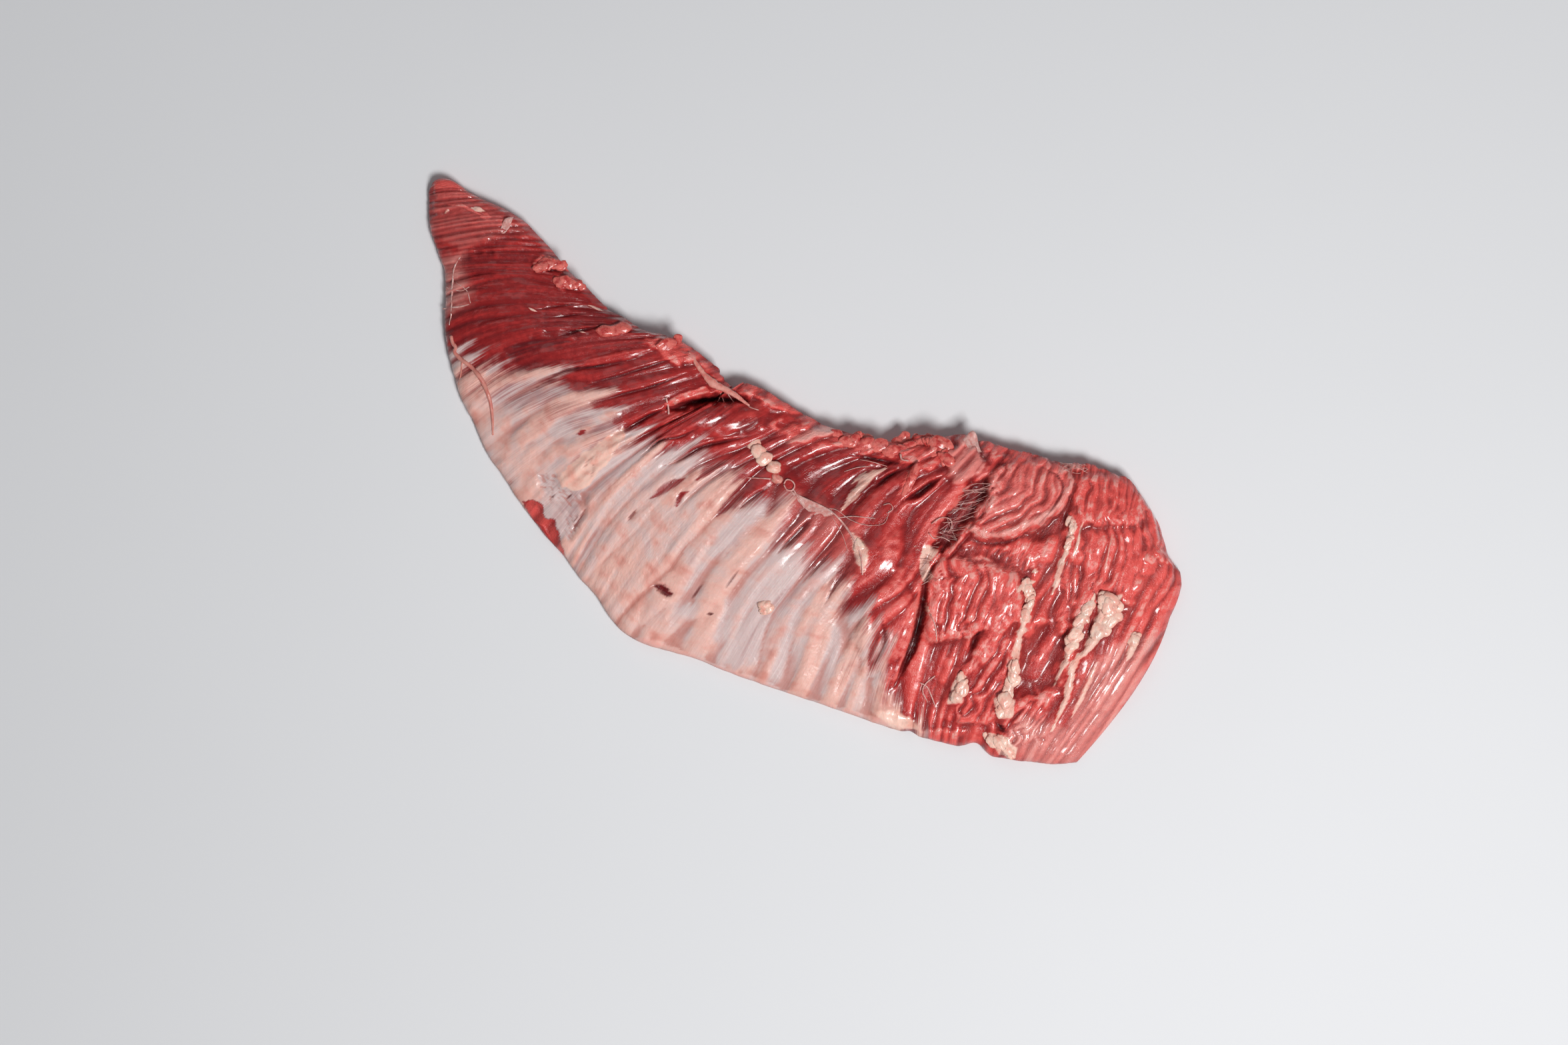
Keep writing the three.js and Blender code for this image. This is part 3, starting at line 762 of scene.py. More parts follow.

# The slits and the seam are painted dark inside, and the cracks and the speck too, as painted shade; the
# smooth lip's dark is the meat's own colour.
STROKES = (
    # the tip
    Stroke("fat streak", ((707, 312), (727, 317)), 3, 0.4, FAT, 0.8),
    Stroke("coral arc", ((671, 307), (690, 307), (703, 313), (724, 324)), 1.8, 0.3, B, 0.9),
    Stroke("coral spot", ((722, 325), (736, 326)), 4, 0.2, B, 0.85),
    Stroke("short fat streak", ((673, 313), (666, 320)), 1.6, 0.3, FAT, 0.6),
    slit("inner slit", ((806, 405), (838, 406), (850, 405)), 1.8, 2.4, 1, 0.5),
    slit("slit by the tip", ((812, 352), (830, 366)), 2.4, 1.6, 0.7),
    slit("long dark line", ((799, 468), (838, 460), (882, 456)), 1.5, 1, 0.75),
    slit("long dark line below", ((826, 479), (860, 473), (890, 470)), 1.5, 1, 0.75),
    slit("dark line at the mauve", ((838, 505), (868, 497), (905, 490)), 2, 1.8, 0.95, 0.4),
    slit("dark line low", ((757, 524), (790, 515), (830, 508)), 1.8, 1.2, 0.8),
    Stroke("white bits", ((884, 459), (905, 467)), 1.4, 0.5, FAT, 0.8),
    Stroke("white bits two", ((866, 496), (878, 500)), 1.6, 0.5, FAT, 0.7),
    Stroke("white bits three", ((794, 463), (806, 469)), 1.3, 0.4, FAT, 0.7),
    # ridges above the silverskin
    slit("bottom of the main gash", ((1002, 613), (1036, 603), (1068, 598), (1100, 600), (1122, 601)),
        3.2, 5, 1),
    Stroke("ridge", ((847, 552), (893, 545), (940, 534), (985, 523)), 5, 1.6, B, 0.3),
    slit("under the ridge", ((797, 588), (820, 571), (853, 556), (905, 549), (960, 538)), 2.4, 2.2, 0.85),
    slit("second groove", ((868, 590), (893, 575), (935, 563), (988, 546), (1030, 534)), 2.2, 1.8, 0.8, 0.5),
    slit("third groove", ((893, 606), (935, 592), (977, 581), (1033, 560)), 2.2, 1.8, 0.8, 0.6),
    slit("lip line", ((934, 648), (960, 632), (980, 621), (1004, 613)), 2.4, 2.8, 0.95, 0.7),
    slit("slit over the lip", ((962, 685), (991, 662), (1019, 656), (1047, 644)), 1.8, 2.2, 0.7, 0.9),
    slit("second gash", ((994, 700), (1024, 688), (1050, 672), (1084, 663), (1104, 659), (1125, 655)),
        2.4, 2.8, 0.6, 1.2),
    Stroke("red island", ((978, 747), (1005, 729), (1028, 719)), 5, -0.6, F, 0.3),
    Stroke("red island two", ((1047, 720), (1072, 700), (1098, 692)), 5.5, -0.6, F, 0.3),
    Stroke("red island three", ((1075, 775), (1092, 758), (1120, 732)), 4.5, -0.6, F, 0.3),
    Stroke("red island four", ((1015, 760), (1022, 744), (1032, 738)), 3, -0.7, F, 0.1),
    slit("dark slit", ((1105, 772), (1123, 751), (1155, 729)), 3, 2, 0.7, 0.5),
    slit("dark slit two", ((1163, 833), (1187, 809), (1212, 783), (1222, 770)), 3.2, 3.4, 0.9, 0.9),
    slit("dark slit three", ((1198, 880), (1228, 847), (1251, 821)), 2.6, 1.6, 0.6, 0.4),
    slit("dark slit four", ((1233, 918), (1251, 879), (1276, 847)), 2.6, 1.6, 0.65, 0.5),
    slit("slit in the skin", ((941, 784), (947, 774), (957, 763)), 2.4, 1.2, 0.75),
    slit("slit in the skin two", ((1030, 918), (1040, 899), (1059, 865)), 1.7, 1.4, 0.85, 0.2),
    slit("slit in the skin three", ((1087, 884), (1110, 853)), 2.4, 1, 0.6, 0.2),
    Stroke("speck in the skin", ((1063, 923), (1068, 920)), 2, -0.8, D, 0.9),
    Stroke("small red in the skin", ((868, 652), (880, 646)), 3.2, -0.4, F, 0.1),
    slit("slit of the torn skin", ((853, 803), (866, 783), (881, 760)), 2, 1.4, 0.95, 0.3),
    slit("slit of the torn skin two", ((824, 748), (834, 738)), 1.2, 0.9, 0.8),
    slit("slit of the torn skin three", ((846, 750), (858, 740)), 1.4, 0.9, 0.85),
    slit("slit of the torn skin four", ((857, 786), (870, 768)), 1.3, 0.8, 0.8),
    Stroke("crack in the fat", ((872, 706), (882, 694), (896, 678)), 1.8, -0.8, D, 0.3),
    Stroke("crack in the fat two", ((886, 718), (891, 704), (889, 694)), 1.8, -0.7, D, 0.3),
    Stroke("vein branch", ((991, 864), (1013, 857), (1026, 848), (1028, 829), (1044, 803)),
        1.6, 0.45, B, 0.5),
    Stroke("vein at the lower edge", ((922, 925), (930, 905), (946, 893), (976, 880)), 1.8, 0.4, B, 0.35),
    Stroke("rim of the hole", ((976, 874), (984, 872), (998, 878), (1008, 892)), 1.2, 0.5, V, 0.9),
    Stroke("rim of the lower edge", ((946, 958), (1000, 975), (1054, 996), (1100, 1014), (1150, 1031),
        (1196, 1050), (1250, 1065), (1300, 1078), (1350, 1090)), 4.5, 1.3, V, 0.55, ragged=0.35, taper=0.05),
    Stroke("fat of the web", ((1276, 800), (1284, 812), (1292, 830), (1294, 858)),
        7, 0.9, FAT, 0.75, ragged=0.7),
    # below the inner edge
    Stroke("glossy bundle", ((1345, 860), (1337, 900), (1329, 940), (1316, 975), (1300, 1008)),
        26, 3.4, ragged=0.05),
    Stroke("glossy bundle beside it", ((1296, 905), (1288, 940), (1276, 972)), 11, 1.4, ragged=0.05),
    Stroke("smooth lip", ((1010, 640), (1050, 627), (1090, 624), (1130, 622)), 13, 1.2, D, 0.3, ragged=0.05),
    Stroke("fat streak of the edge", ((1181, 665), (1219, 650), (1270, 643)), 5, 1.2, V, 0.9, ragged=0.6),
    Stroke("fat streak of the hollow", ((1262, 766), (1275, 750), (1287, 735), (1306, 714), (1326, 704)),
        5.6, 1.6, FAT, 0.9, ragged=0.4),
    Stroke("fat streak of the hollow two", ((1276, 727), (1299, 707)), 2, 0.7, FAT, 0.7),
    slit("white-edged slit", ((1309, 734), (1330, 716), (1353, 703)), 2.6, 2.6, 0.9, 0.9),
    slit("line below the edge", ((1276, 681), (1308, 688), (1340, 694), (1358, 698)), 2.6, 2.8, 0.95),
    slit("upper slit", ((1353, 752), (1372, 742), (1386, 732), (1412, 715)), 4.6, 6, 1, 0.8),
    Stroke("flap above the slit", ((1346, 742), (1362, 722), (1372, 700), (1378, 690)), 4, 1.6, B, 0.85),
    slit("fold in the belly", ((1321, 925), (1326, 962), (1305, 1006)), 3.6, 2.2, 0.45, 0.6),
    Stroke("fold in the belly two", ((1290, 1000), (1310, 970), (1318, 935)), 3, -1.2, B, 0.6),
    # Painted shade in the seam's deep cut.
    Stroke("seam", ((1341, 1031), (1357, 994), (1370, 962), (1381, 917), (1386, 876), (1398, 848)),
        5, -8.5, D, 0.85, Profile.CUT, ragged=0.15, lip=0.6),
    # the open end
    Stroke("crest of the arched fold", ((1442, 788), (1475, 801), (1506, 800), (1530, 790), (1562, 775),
        (1584, 758), (1600, 738), (1605, 716), (1588, 700)), 3.6, 1.3, V, 0.55, ragged=0.3),
    slit("second fold", ((1560, 700), (1586, 716), (1592, 736), (1576, 764), (1556, 784)), 2.2, 1.6, 0.6),
    slit("foot of the arched fold", ((1450, 806), (1480, 815), (1510, 812), (1540, 800)), 3, 2.4, 0.7),
    Stroke("edge of the shelf", ((1420, 826), (1443, 838), (1473, 838), (1493, 849), (1522, 856)),
        2.2, 1, V, 0.35),
    slit("flap slit", ((1452, 983), (1459, 962), (1466, 950), (1480, 944)), 3.6, 4.2, 1, 0.8),
    Stroke("fat strip one", ((1536, 873), (1543, 898), (1534, 935), (1524, 965), (1521, 994), (1517, 1026),
        (1506, 1042)), 4.2, 1.6, FAT, 0.95, ragged=0.75, taper=0.15),
    Stroke("fat strip two", ((1603, 779), (1611, 787), (1603, 800), (1597, 824), (1590, 843), (1586, 862),
        (1576, 893)), 3, 1.5, FAT, 0.95, ragged=0.75, taper=0.2),
    Stroke("fat strip three", ((1636, 901), (1622, 924), (1612, 942), (1604, 965), (1597, 990),
        (1580, 1028)), 4.4, 1.9, FAT, 0.95, ragged=0.75, taper=0.5),
    Stroke("fat strip four", ((1661, 930), (1640, 965), (1610, 992), (1604, 1026), (1594, 1058),
        (1577, 1098)), 4, 1.7, FAT, 0.9, ragged=0.75, taper=0.4),
    Stroke("fat strip five", ((1644, 992), (1626, 1038), (1606, 1078)), 2.8, 0.8, FAT, 0.65, ragged=0.4),
    Stroke("fat strip six", ((1703, 955), (1698, 972), (1690, 990)), 5, 1.2, FAT, 0.9, ragged=0.3),
    Stroke("fat strip seven", ((1550, 872), (1530, 880), (1524, 890)), 3.4, 1.2, FAT, 0.85, ragged=0.4),
    Stroke("thin fat", ((1622, 776), (1617, 800), (1606, 842)), 1.7, 0.6, FAT, 0.8, ragged=0.4),
    Stroke("thin fat two", ((1668, 792), (1662, 820), (1655, 850)), 1.4, 0.4, FAT, 0.55, ragged=0.5),
    Stroke("fat fleck", ((1546, 857), (1556, 857)), 3, 1.2, FAT, 0.95),
    Stroke("fat tear", ((1388, 905), (1390, 915), (1395, 921)), 2.4, 0.7, FAT, 0.9),
    Stroke("fat thread", ((1395, 921), (1402, 940), (1404, 962)), 0.9, 0.3, FAT, 0.6),
    Stroke("red spot", ((1613, 928), (1618, 926)), 2.6, 0.4, B, 1),
    Stroke("lip of the end gash", ((1504, 1092), (1514, 1077), (1523, 1064), (1542, 1048), (1565, 1045)),
        3.8, 1.9, B, 1.3, ragged=0.3),
    slit("end gash", ((1494, 1084), (1503, 1092), (1508, 1100)), 3.6, 4, 1),
    slit("end gash inside", ((1512, 1090), (1522, 1074), (1540, 1060)), 2.4, 2, 0.4),
    Stroke("small cut", ((1555, 1106), (1571, 1112)), 2, -1, B, 1),
    slit("gap of the lower edge", ((1478, 1110), (1490, 1116), (1505, 1126)), 2, 2.2, 0.9),
    Stroke("edge line", ((1715, 990), (1690, 1035), (1660, 1085), (1630, 1135)),
        2, -0.8, B, 0.9, Profile.CUT),
    Stroke("white wisp", ((1596, 700), (1610, 700), (1624, 704)), 3.4, 0.8, V, 0.95),
    Stroke("ledge at the right", ((1708, 838), (1728, 834), (1750, 826)), 4, 1.4, B, 0.8),
)


# --- the steak's relief


BROAD = Bundles(9.4, 2.7, 0.8, 0.3, 34, 0.0)
NARROW = Bundles(4.3, 0.65, 0.9, 0.4, 18, 3.0)
TIP_RIDGES = Bundles(3.1, 2.1, 0.7, 0.4, 26, 11.0)
END_FIBRES = Bundles(4.6, 2.7, 0.9, 0.35, 20, 23.0)
END_SPLITS = Bundles(2.2, 0.45, 0.9, 0.5, 7, 27.0)
END_FOLDS = Bundles(13, 1.6, 0.9, 0.4, 20, 31.0)

LUMP_RELIEF, LUMP_WIDTH = 0.9, 34  # slow unevenness of the whole slab
LEAST_HEIGHT = 0.27  # least that a gash leaves, as a share of the slab's height
FINE_RAG = Rag(1.3, 2.7)

# Pairs of grain lines between which one kind of surface gives way to the next.
RIDGES_START = (0.2, 1.0)
TIP_ENDS = (2.6, 3.8)
TORN_EDGE_STARTS = (3.5, 6)
CALM_ENDS = (7.0, 9.0)
LONG_BANDS_START = (8, 10.5)
SKIN_COARSENS = (9, 12)
FIBRES_START = (15.7, 16.5)
CORNER_STARTS = (17.6, 18.8)

UNDER_SKIN = (0.5, 0.8)  # the bundles' relief under fine and coarse silverskin, as a share of the bare one
SKIN_REST = 1.1  # depth below which the silverskin gives way to bare muscle at its border
BAND_RELIEF = 1.5  # height of the silverskin's warm bands over the grey
FAT_LOBE = (4.4, 3.8)  # size of a lobe in the fat that is part of the surface
FAT_RELIEF = 2.4
SPIKE_SOFTENING = 0.45
WALL_BULGE = 0.55
# The masks hollow and crest carry painted shade and a painted highlight into the steak's colour.
HOLLOW_DEPTH, CREST_HEIGHT = 0.85, 0.75  # depth and height at which the masks hollow and crest are full
RIM_WIDTH = (0.5, 4.5)

# Meat tone at a few grain lines, beside the inner edge and beside the outer one: 0 deep red, 1 coral.
TONE_LINES = (0, 3, 4, 5, 7, 9, 11, 13, 15, 16, 17, 20)
INNER_TONE = (0.5, 0.3, 0.12, 0.1, 0.2, 0.28, 0.3, 0.3, 0.45, 0.7, 0.88, 0.85)
OUTER_TONE = (0.4, 0.3, 0.15, 0.12, 0.15, 0.3, 0.4, 0.4, 0.45, 0.45, 0.6, 0.6)


@dataclass
class SteakSurface:
    """The whole steak as one closed mesh, with its masks as vertex attributes.

    edge_crowding draws the rows of the grid towards the two long edges.
    """

    steps_along: int = 650
    steps_across: int = 128
    wall_rows: int = 7
    edge_crowding: float = 0.35

    def __post_init__(self) -> None:
        """Works out the grid's grain coordinates and plan places."""
        line = np.linspace(0, LAST_LINE, self.steps_along + 1)
        even = np.linspace(0, 1, self.steps_across + 1)
        across = mix(even, (1 - np.cos(np.pi * even)) / 2, self.edge_crowding)
        self.line, self.across = (a.ravel() for a in np.meshgrid(line, across, indexing="ij"))
        self.width = Grain.width(self.line)
        self.canvas = Canvas(
            Grain.point(self.line, self.drawn(self.line, self.across)),
            self.line * LINE_SPACING,
            self.across * self.width,
        )
        self.from_inner = (1 - self.across) * self.width
        self.shift = self.middle_shift()

    @staticmethod
    def drawn(line: Array, across: Array) -> Array:
        """`across` once both edges are drawn in, with the finest raggedness added."""
        width = Grain.width(line)
        at = line * LINE_SPACING / FINE_RAG.width
        fine = FINE_RAG.depth * (layered_noise(at, line * 0, 2) + 1) / 2
        torn = FINE_RAG.depth * (2 - lobes(at / 1.6, line * 0 + 0.5) - lobes(at / 3.7, line * 0 + 5.5))
        inner = torn * smooth(line, 3, 5) * (1 - smooth(line, 16, 20) * 0.5)
        return mix(0.3 * fine / width, 1 - (inner + 0.5 * fine) / width, Grain.ragged(line, across))

    @staticmethod
    def middle_shift() -> Array:
        """The move that brings the middle of the footprint to the origin, as the solid has it."""
        line = np.linspace(0, LAST_LINE, SOLID_STEPS[0] + 1)
        edges = [Grain.point(line, Grain.ragged(line, np.full_like(line, side))) for side in (0.0, 1.0)]
        across = np.linspace(0, 1, SOLID_STEPS[1] + 1)
        for end in (0.0, float(LAST_LINE)):
            line = np.full_like(across, end)
            edges.append(Grain.point(line, Grain.ragged(line, across)))
        outline = np.vstack(edges)
        return -(outline.min(0) + outline.max(0)) / 2

    def slab(self) -> Array:
        """Height of the plain slab, before the edge is rounded and the relief is added."""
        outer, crown, inner = (through(column("rise", k), self.line) for k in range(3))
        rise = np.sin(np.pi / 2 * np.clip(self.across / CROWN_AT, 0, 1))
        fall = np.clip((self.across - CROWN_AT) / (1 - CROWN_AT), 0, 1)
        return np.where(
            self.across < CROWN_AT, mix(outer, crown, rise), mix(inner, crown, np.cos(np.pi / 2 * fall**2))
        )

    def edge_rounding(self) -> Array:
        """How much of the height is left beside the four edges."""
        sides = (
            (self.across * self.width, SHOULDER * through(column("rise", 0), self.line), RIM_SHARE, 0.5),
            (self.from_inner, INNER_SHOULDER * through(column("rise", 2), self.line), INNER_RIM_SHARE, 1),
            (self.line * LINE_SPACING, SHOULDER * GRAIN_LINES[0].rise[1], RIM_SHARE, 0.5),
            ((LAST_LINE - self.line) * LINE_SPACING, SHOULDER * GRAIN_LINES[-1].rise[1], RIM_SHARE, 0.7),
        )
        left = np.ones_like(self.line)
        for distance, radius, share, bend in sides:
            inside = np.clip(1 - distance / radius, 0, 1)
            left = left * (share + (1 - share) * (1 - inside * inside) ** bend)
        return left

    def bundle_relief(self, silverskin: Array) -> Array:
        """The relief of the muscle bundles, which changes from the tip to the broad end."""
        s, t, line = self.line * LINE_SPACING, self.across * self.width, self.line
        tip = 1 - smooth(line, *TIP_ENDS)
        end = smooth(line, *FIBRES_START)
        body = (1 - tip) * (1 - end)
        under_skin = mix(1.0, mix(*UNDER_SKIN, smooth(line, *SKIN_COARSENS)), silverskin)
        wave = 1.5 * np.sin(t / 8.5 + 2.5 * noise(s / 28, t / 60)) * smooth(self.across, 0.35, 0.6)
        bent = s + wave * end
        corner = smooth(line, *CORNER_STARTS) * (1 - smooth(self.across, 0.3, 0.5))
        fibres = END_FIBRES.height(bent, t) + END_SPLITS.height(bent, t) + END_FOLDS.height(s, t)
        fibres = fibres + 0.6 * END_FIBRES.terraces(bent, t, 13)
        calm = 1 - 0.45 * smooth(self.across, 0.25, 0.5) * (1 - smooth(line, *CALM_ENDS))
        broad = BROAD.height(s, t)
        return (
            tip * smooth(line, *RIDGES_START) * (TIP_RIDGES.height(s, t) + 0.3 * broad)
            + body * under_skin * calm * (broad + NARROW.height(s, t))
            + end * fibres * (1 - 0.65 * corner)
        )

    def crags(self) -> Array:
        """The torn lumps of the inner edge, and the fine unevenness everywhere."""
        x, y = self.canvas.places[:, 0], self.canvas.places[:, 1]
        torn = 1 - smooth(self.from_inner, 3, 17)
        torn = torn * smooth(self.line, *TORN_EDGE_STARTS) * (1 - 0.6 * smooth(self.line, 18, 20))
        x, y = x + 1.5 * noise(x / 5, y / 5), y + 1.5 * noise(x / 5 + 9, y / 5)
        lumps = 1.6 * layered_noise(x / 7, y / 7, 3)
        lumps = lumps + 2.4 * (lobes(x / 6.5, y / 4.8) - 0.8) + 1.2 * (lobes(x / 3.1, y / 2.6) - 0.8)
        return torn * lumps + 0.12 * layered_noise(x / 1.8, y / 1.8, 2)

    def meat_tone(self) -> Array:
        """How bright the bare muscle is: 0 deep red, 1 coral."""
        outer, inner = (np.interp(self.line, TONE_LINES, tones) for tones in (OUTER_TONE, INNER_TONE))
        tone = mix(outer, inner, smooth(self.across, 0.2, 0.7))
        cut_edge = (1 - smooth(self.from_inner, 1, 9)) * mix(0.4, 1.0, smooth(self.line, 7, 9.5))
        return np.clip(tone + 0.45 * cut_edge, 0, 1)

    def warm_bands(self) -> Array:
        """The fat-rich bands of the silverskin, from 0 to 1: long, lumpy and thinner than the grey."""
        s, t = self.canvas.along, self.canvas.across
        drift = 0.5 * noise(s / 30, t / 45)
        short = layered_noise(s / 7.5 + drift, t / 42, 3) + 0.3 * layered_noise(s / 3.2, t / 9, 2)
        long = layered_noise(s / 5.6 + drift, t / 90, 2) + 0.15 * layered_noise(s / 3, t / 20, 2)
        return smooth(mix(short, long, smooth(self.line, *LONG_BANDS_START)), -0.4, 0.35)

    def shape(self) -> None:
        """Works out the heights of the whole upper surface, and the masks on the canvas."""
        canvas = self.canvas
        x, y = canvas.places[:, 0], canvas.places[:, 1]
        skin, warm = canvas.masks[Tissue.FASCIA], canvas.masks[Tissue.WARM]
        canvas.masks[Tissue.BRIGHT][:] = self.meat_tone()
        warm[:] = self.warm_bands()
        canvas.patch(SILVERSKIN)
        canvas.height += self.bundle_relief(skin)
        skin[:] = np.clip(skin + 1.6 * skin * (1 - skin) * (canvas.height + SKIN_REST), 0, 1)
        canvas.height += LUMP_RELIEF * noise(x / LUMP_WIDTH, y / LUMP_WIDTH) + self.crags()
        canvas.height += BAND_RELIEF * warm * skin
        for c in (*COMBS, CRINKLED_SKIN):
            canvas.comb(c)
        for p in PATCHES:
            canvas.patch(p)
        for s in STROKES:
            canvas.stroke(s)
        fat = canvas.masks[Tissue.FAT] * (1 - skin)
        canvas.height += FAT_RELIEF * fat * (lobes(x / FAT_LOBE[0], y / FAT_LOBE[1]) - 0.7)
        slab = self.slab()
        height = self.edge_rounding() * np.maximum(slab + canvas.height, LEAST_HEIGHT * slab)
        self.height = mix(height, self.blurred(height, 1, 1), SPIKE_SOFTENING)

    def grid(self, values: Array) -> Array:
        """Flat values as a grid of steps along by steps across."""
        return values.reshape(self.steps_along + 1, self.steps_across + 1)

    def blurred(self, values: Array, along: int, across: int) -> Array:
        """A box blur of flat values, over that many steps to each side."""
        out = self.grid(values)
        for axis, reach in ((0, along), (1, across)):
            padded = np.pad(out, [(reach, reach) if k == axis else (0, 0) for k in range(2)], mode="edge")
            sums = np.cumsum(np.insert(padded, 0, 0, axis=axis), axis=axis)
            window = 2 * reach + 1
            high = np.take(sums, range(window, sums.shape[axis]), axis=axis)
            low = np.take(sums, range(0, sums.shape[axis] - window), axis=axis)
            out = (high - low) / window
        return out.ravel()

    def hollows(self) -> Array:
        """How far each place lies below its surroundings, in millimetres."""
        relief = self.canvas.height
        return self.blurred(self.blurred(relief, 5, 3), 5, 3) - relief

    def build(self) -> bpy.types.Object:
        """Makes the mesh with its masks and grain map.

        Returns:
            The steak's object.
        """
        self.shape()
        top = np.column_stack([self.canvas.places + self.shift, self.height])
        rim, foot, out = self.border()
        rows = [top]
        ring = len(rim)
        for k in range(1, self.wall_rows + 1):
            turn = math.pi / 2 * k / self.wall_rows
            place = mix(top[rim, :2], foot, k / self.wall_rows)
            z = top[rim, 2] * (1 - math.sin(turn))
            bulge = WALL_BULGE * layered_noise(np.arange(ring) / 6.0, z / 2.5 + 40, 2) * math.sin(2 * turn)
            rows.append(np.column_stack([place + out * bulge[:, None], z]))
        points = np.vstack(rows)
        faces = self.top_faces() + self.wall_faces(rim, len(top))
        faces.append(tuple(range(len(points) - 1, len(points) - ring - 1, -1)))
        piece = new_piece("steak_body", points, faces)
        self.dress(piece.data, rim)
        return piece

    def border(self) -> tuple[Array, Array, Array]:
        """The rim's grid points anticlockwise from above, the foot below each, and the way out there."""
        index = self.grid(np.arange(len(self.line)))
        rim = np.concatenate([index[:-1, 0], index[-1, :-1], index[:0:-1, -1], index[0, :0:-1]])
        tuck_lines = FOOT_TUCK / LINE_SPACING
        line = mix(tuck_lines, LAST_LINE - tuck_lines, self.line[rim] / LAST_LINE)
        tuck = FOOT_TUCK / Grain.width(line)
        across = mix(tuck, 1 - tuck, self.across[rim])
        foot = Grain.point(line, self.drawn(line, across)) + self.shift
        away = self.canvas.places[rim] + self.shift - foot
        return rim, foot, away / np.linalg.norm(away, axis=1)[:, None]

    def top_faces(self) -> list[tuple[int, ...]]:
        """The quads of the upper surface."""
        index = self.grid(np.arange(len(self.line)))
        quads = np.stack([index[:-1, :-1], index[1:, :-1], index[1:, 1:], index[:-1, 1:]], -1)
        return [tuple(q) for q in quads.reshape(-1, 4).tolist()]

    def wall_faces(self, rim: Array, top_count: int) -> list[tuple[int, ...]]:
        """The quads of the wall between the rim and the foot."""
        ring = len(rim)
        rows = [rim] + [top_count + k * ring + np.arange(ring) for k in range(self.wall_rows)]
        faces = []
        for upper, lower in zip(rows[:-1], rows[1:]):
            quads = np.stack([lower, np.roll(lower, -1), np.roll(upper, -1), upper], -1)
            faces += [tuple(q) for q in quads.tolist()]
        return faces

    def dress(self, mesh: bpy.types.Mesh, rim: Array) -> None:
        """Writes the masks and the grain map on the mesh."""
        below = np.tile(rim, self.wall_rows)
        hollow = self.hollows()
        masks = {t.value: v for t, v in self.canvas.masks.items()}
        masks["hollow"] = np.clip(hollow / HOLLOW_DEPTH, 0, 1)
        masks["crest"] = np.clip(-hollow / CREST_HEIGHT, 0, 1)
        from_side = np.minimum(self.across, 1 - self.across) * self.width
        from_end = np.minimum(self.line, LAST_LINE - self.line) * LINE_SPACING
        masks["rim"] = 1 - smooth(np.minimum(from_side, from_end), *RIM_WIDTH)
        for name, values in masks.items():
            layer = mesh.attributes.new(name, "FLOAT", "POINT")
            layer.data.foreach_set("value", np.concatenate([values, values[below]]).astype(np.float32))
        down = np.repeat(np.arange(1, self.wall_rows + 1) * 1.5, len(rim))
        side = np.where(self.across[below] < 0.5, -1, 1)
        along, across = self.canvas.along, self.canvas.across
        grain = np.column_stack(
            [np.concatenate([along, along[below]]), np.concatenate([across, across[below] + side * down])]
        )
        corners = np.empty(len(mesh.loops), np.int32)
        mesh.loops.foreach_get("vertex_index", corners)
        uv = mesh.uv_layers.new(name=GRAIN_MAP)
        uv.data.foreach_set("uv", (grain[corners] / GRAIN_MAP_MM).astype(np.float32).ravel())


# --- loose fat, strands and scraps


@dataclass(frozen=True)
class Strand:
    """A strand that lies on the steak, or spans a gap in it, along pixels of the photograph.

    radius and lift are millimetres at the start, the middle and the end. lift is above the surface, or above
    the straight line between the ends where the strand spans. flat is its thickness as a share of its width.
    """

    path: Pixels
    radius: tuple[float, float, float]
    lift: tuple[float, float, float] = (0.0, 0.3, 0.0)
    spans: bool = False
    flat: float = 1.0
    lumpy: float = 0.15


@dataclass(frozen=True)
class Lump:
    """A lobe seated on the steak at a pixel: length, width and height in millimetres, turned by degrees."""

    place: tuple[float, float]
    size: tuple[float, float, float]
    turn: float = 0.0
    lumpy: float = 0.16


@dataclass(frozen=True)
class Scrap:
    """A thin torn flap inside a ring of pixels, lifted by `lift` millimetres on its raised side."""

    ring: Pixels
    thickness: float = 0.8
    lift: float = 1.5
    raised: float = 90.0


class Shells:
    """Collects closed shells in millimetres, and makes them one mesh."""

    def __init__(self) -> None:
        """Starts with no shells."""
        self.points: list[Array] = []
        self.faces: list[tuple[int, ...]] = []
        self.count = 0

    def add(self, points: Array, faces: Iterable[Sequence[int]]) -> None:
        """Adds one shell, whose faces count from its own first point."""
        self.points.append(points)
        self.faces += [tuple(int(i) + self.count for i in face) for face in faces]
        self.count += len(points)

    def rings(self, rows: list[Array], start: Array, end: Array) -> None:
        """Adds a shell of rings of equal size between two end points."""
        size = len(rows[0])
        points = np.vstack([start[None], *rows, end[None]])
        turn = [(k, (k + 1) % size) for k in range(size)]
        faces: list[tuple[int, ...]] = [(0, 1 + b, 1 + a) for a, b in turn]
        for row in range(len(rows) - 1):
            low = 1 + row * size
            faces += [(low + a, low + b, low + size + b, low + size + a) for a, b in turn]
        last = 1 + (len(rows) - 1) * size
        faces += [(last + a, last + b, len(points) - 1) for a, b in turn]
        self.add(points, faces)

    def make(self, name: str) -> bpy.types.Object:
        """The shells as one object."""
        return new_piece(name, np.vstack(self.points), self.faces)


LOBE_SIDES, LOBE_ROWS, LOBE_LAST_ROW = 20, 11, 78  # the last row's latitude is in degrees
LOBE_OVER, LOBE_UNDER = 0.7, 0.35  # height of a lobe over and under its seat, as shares of its size
SCRAP_RINGS = (0.33, 0.62, 0.85, 1.0)  # sizes of a flap's rings, as shares of its outline


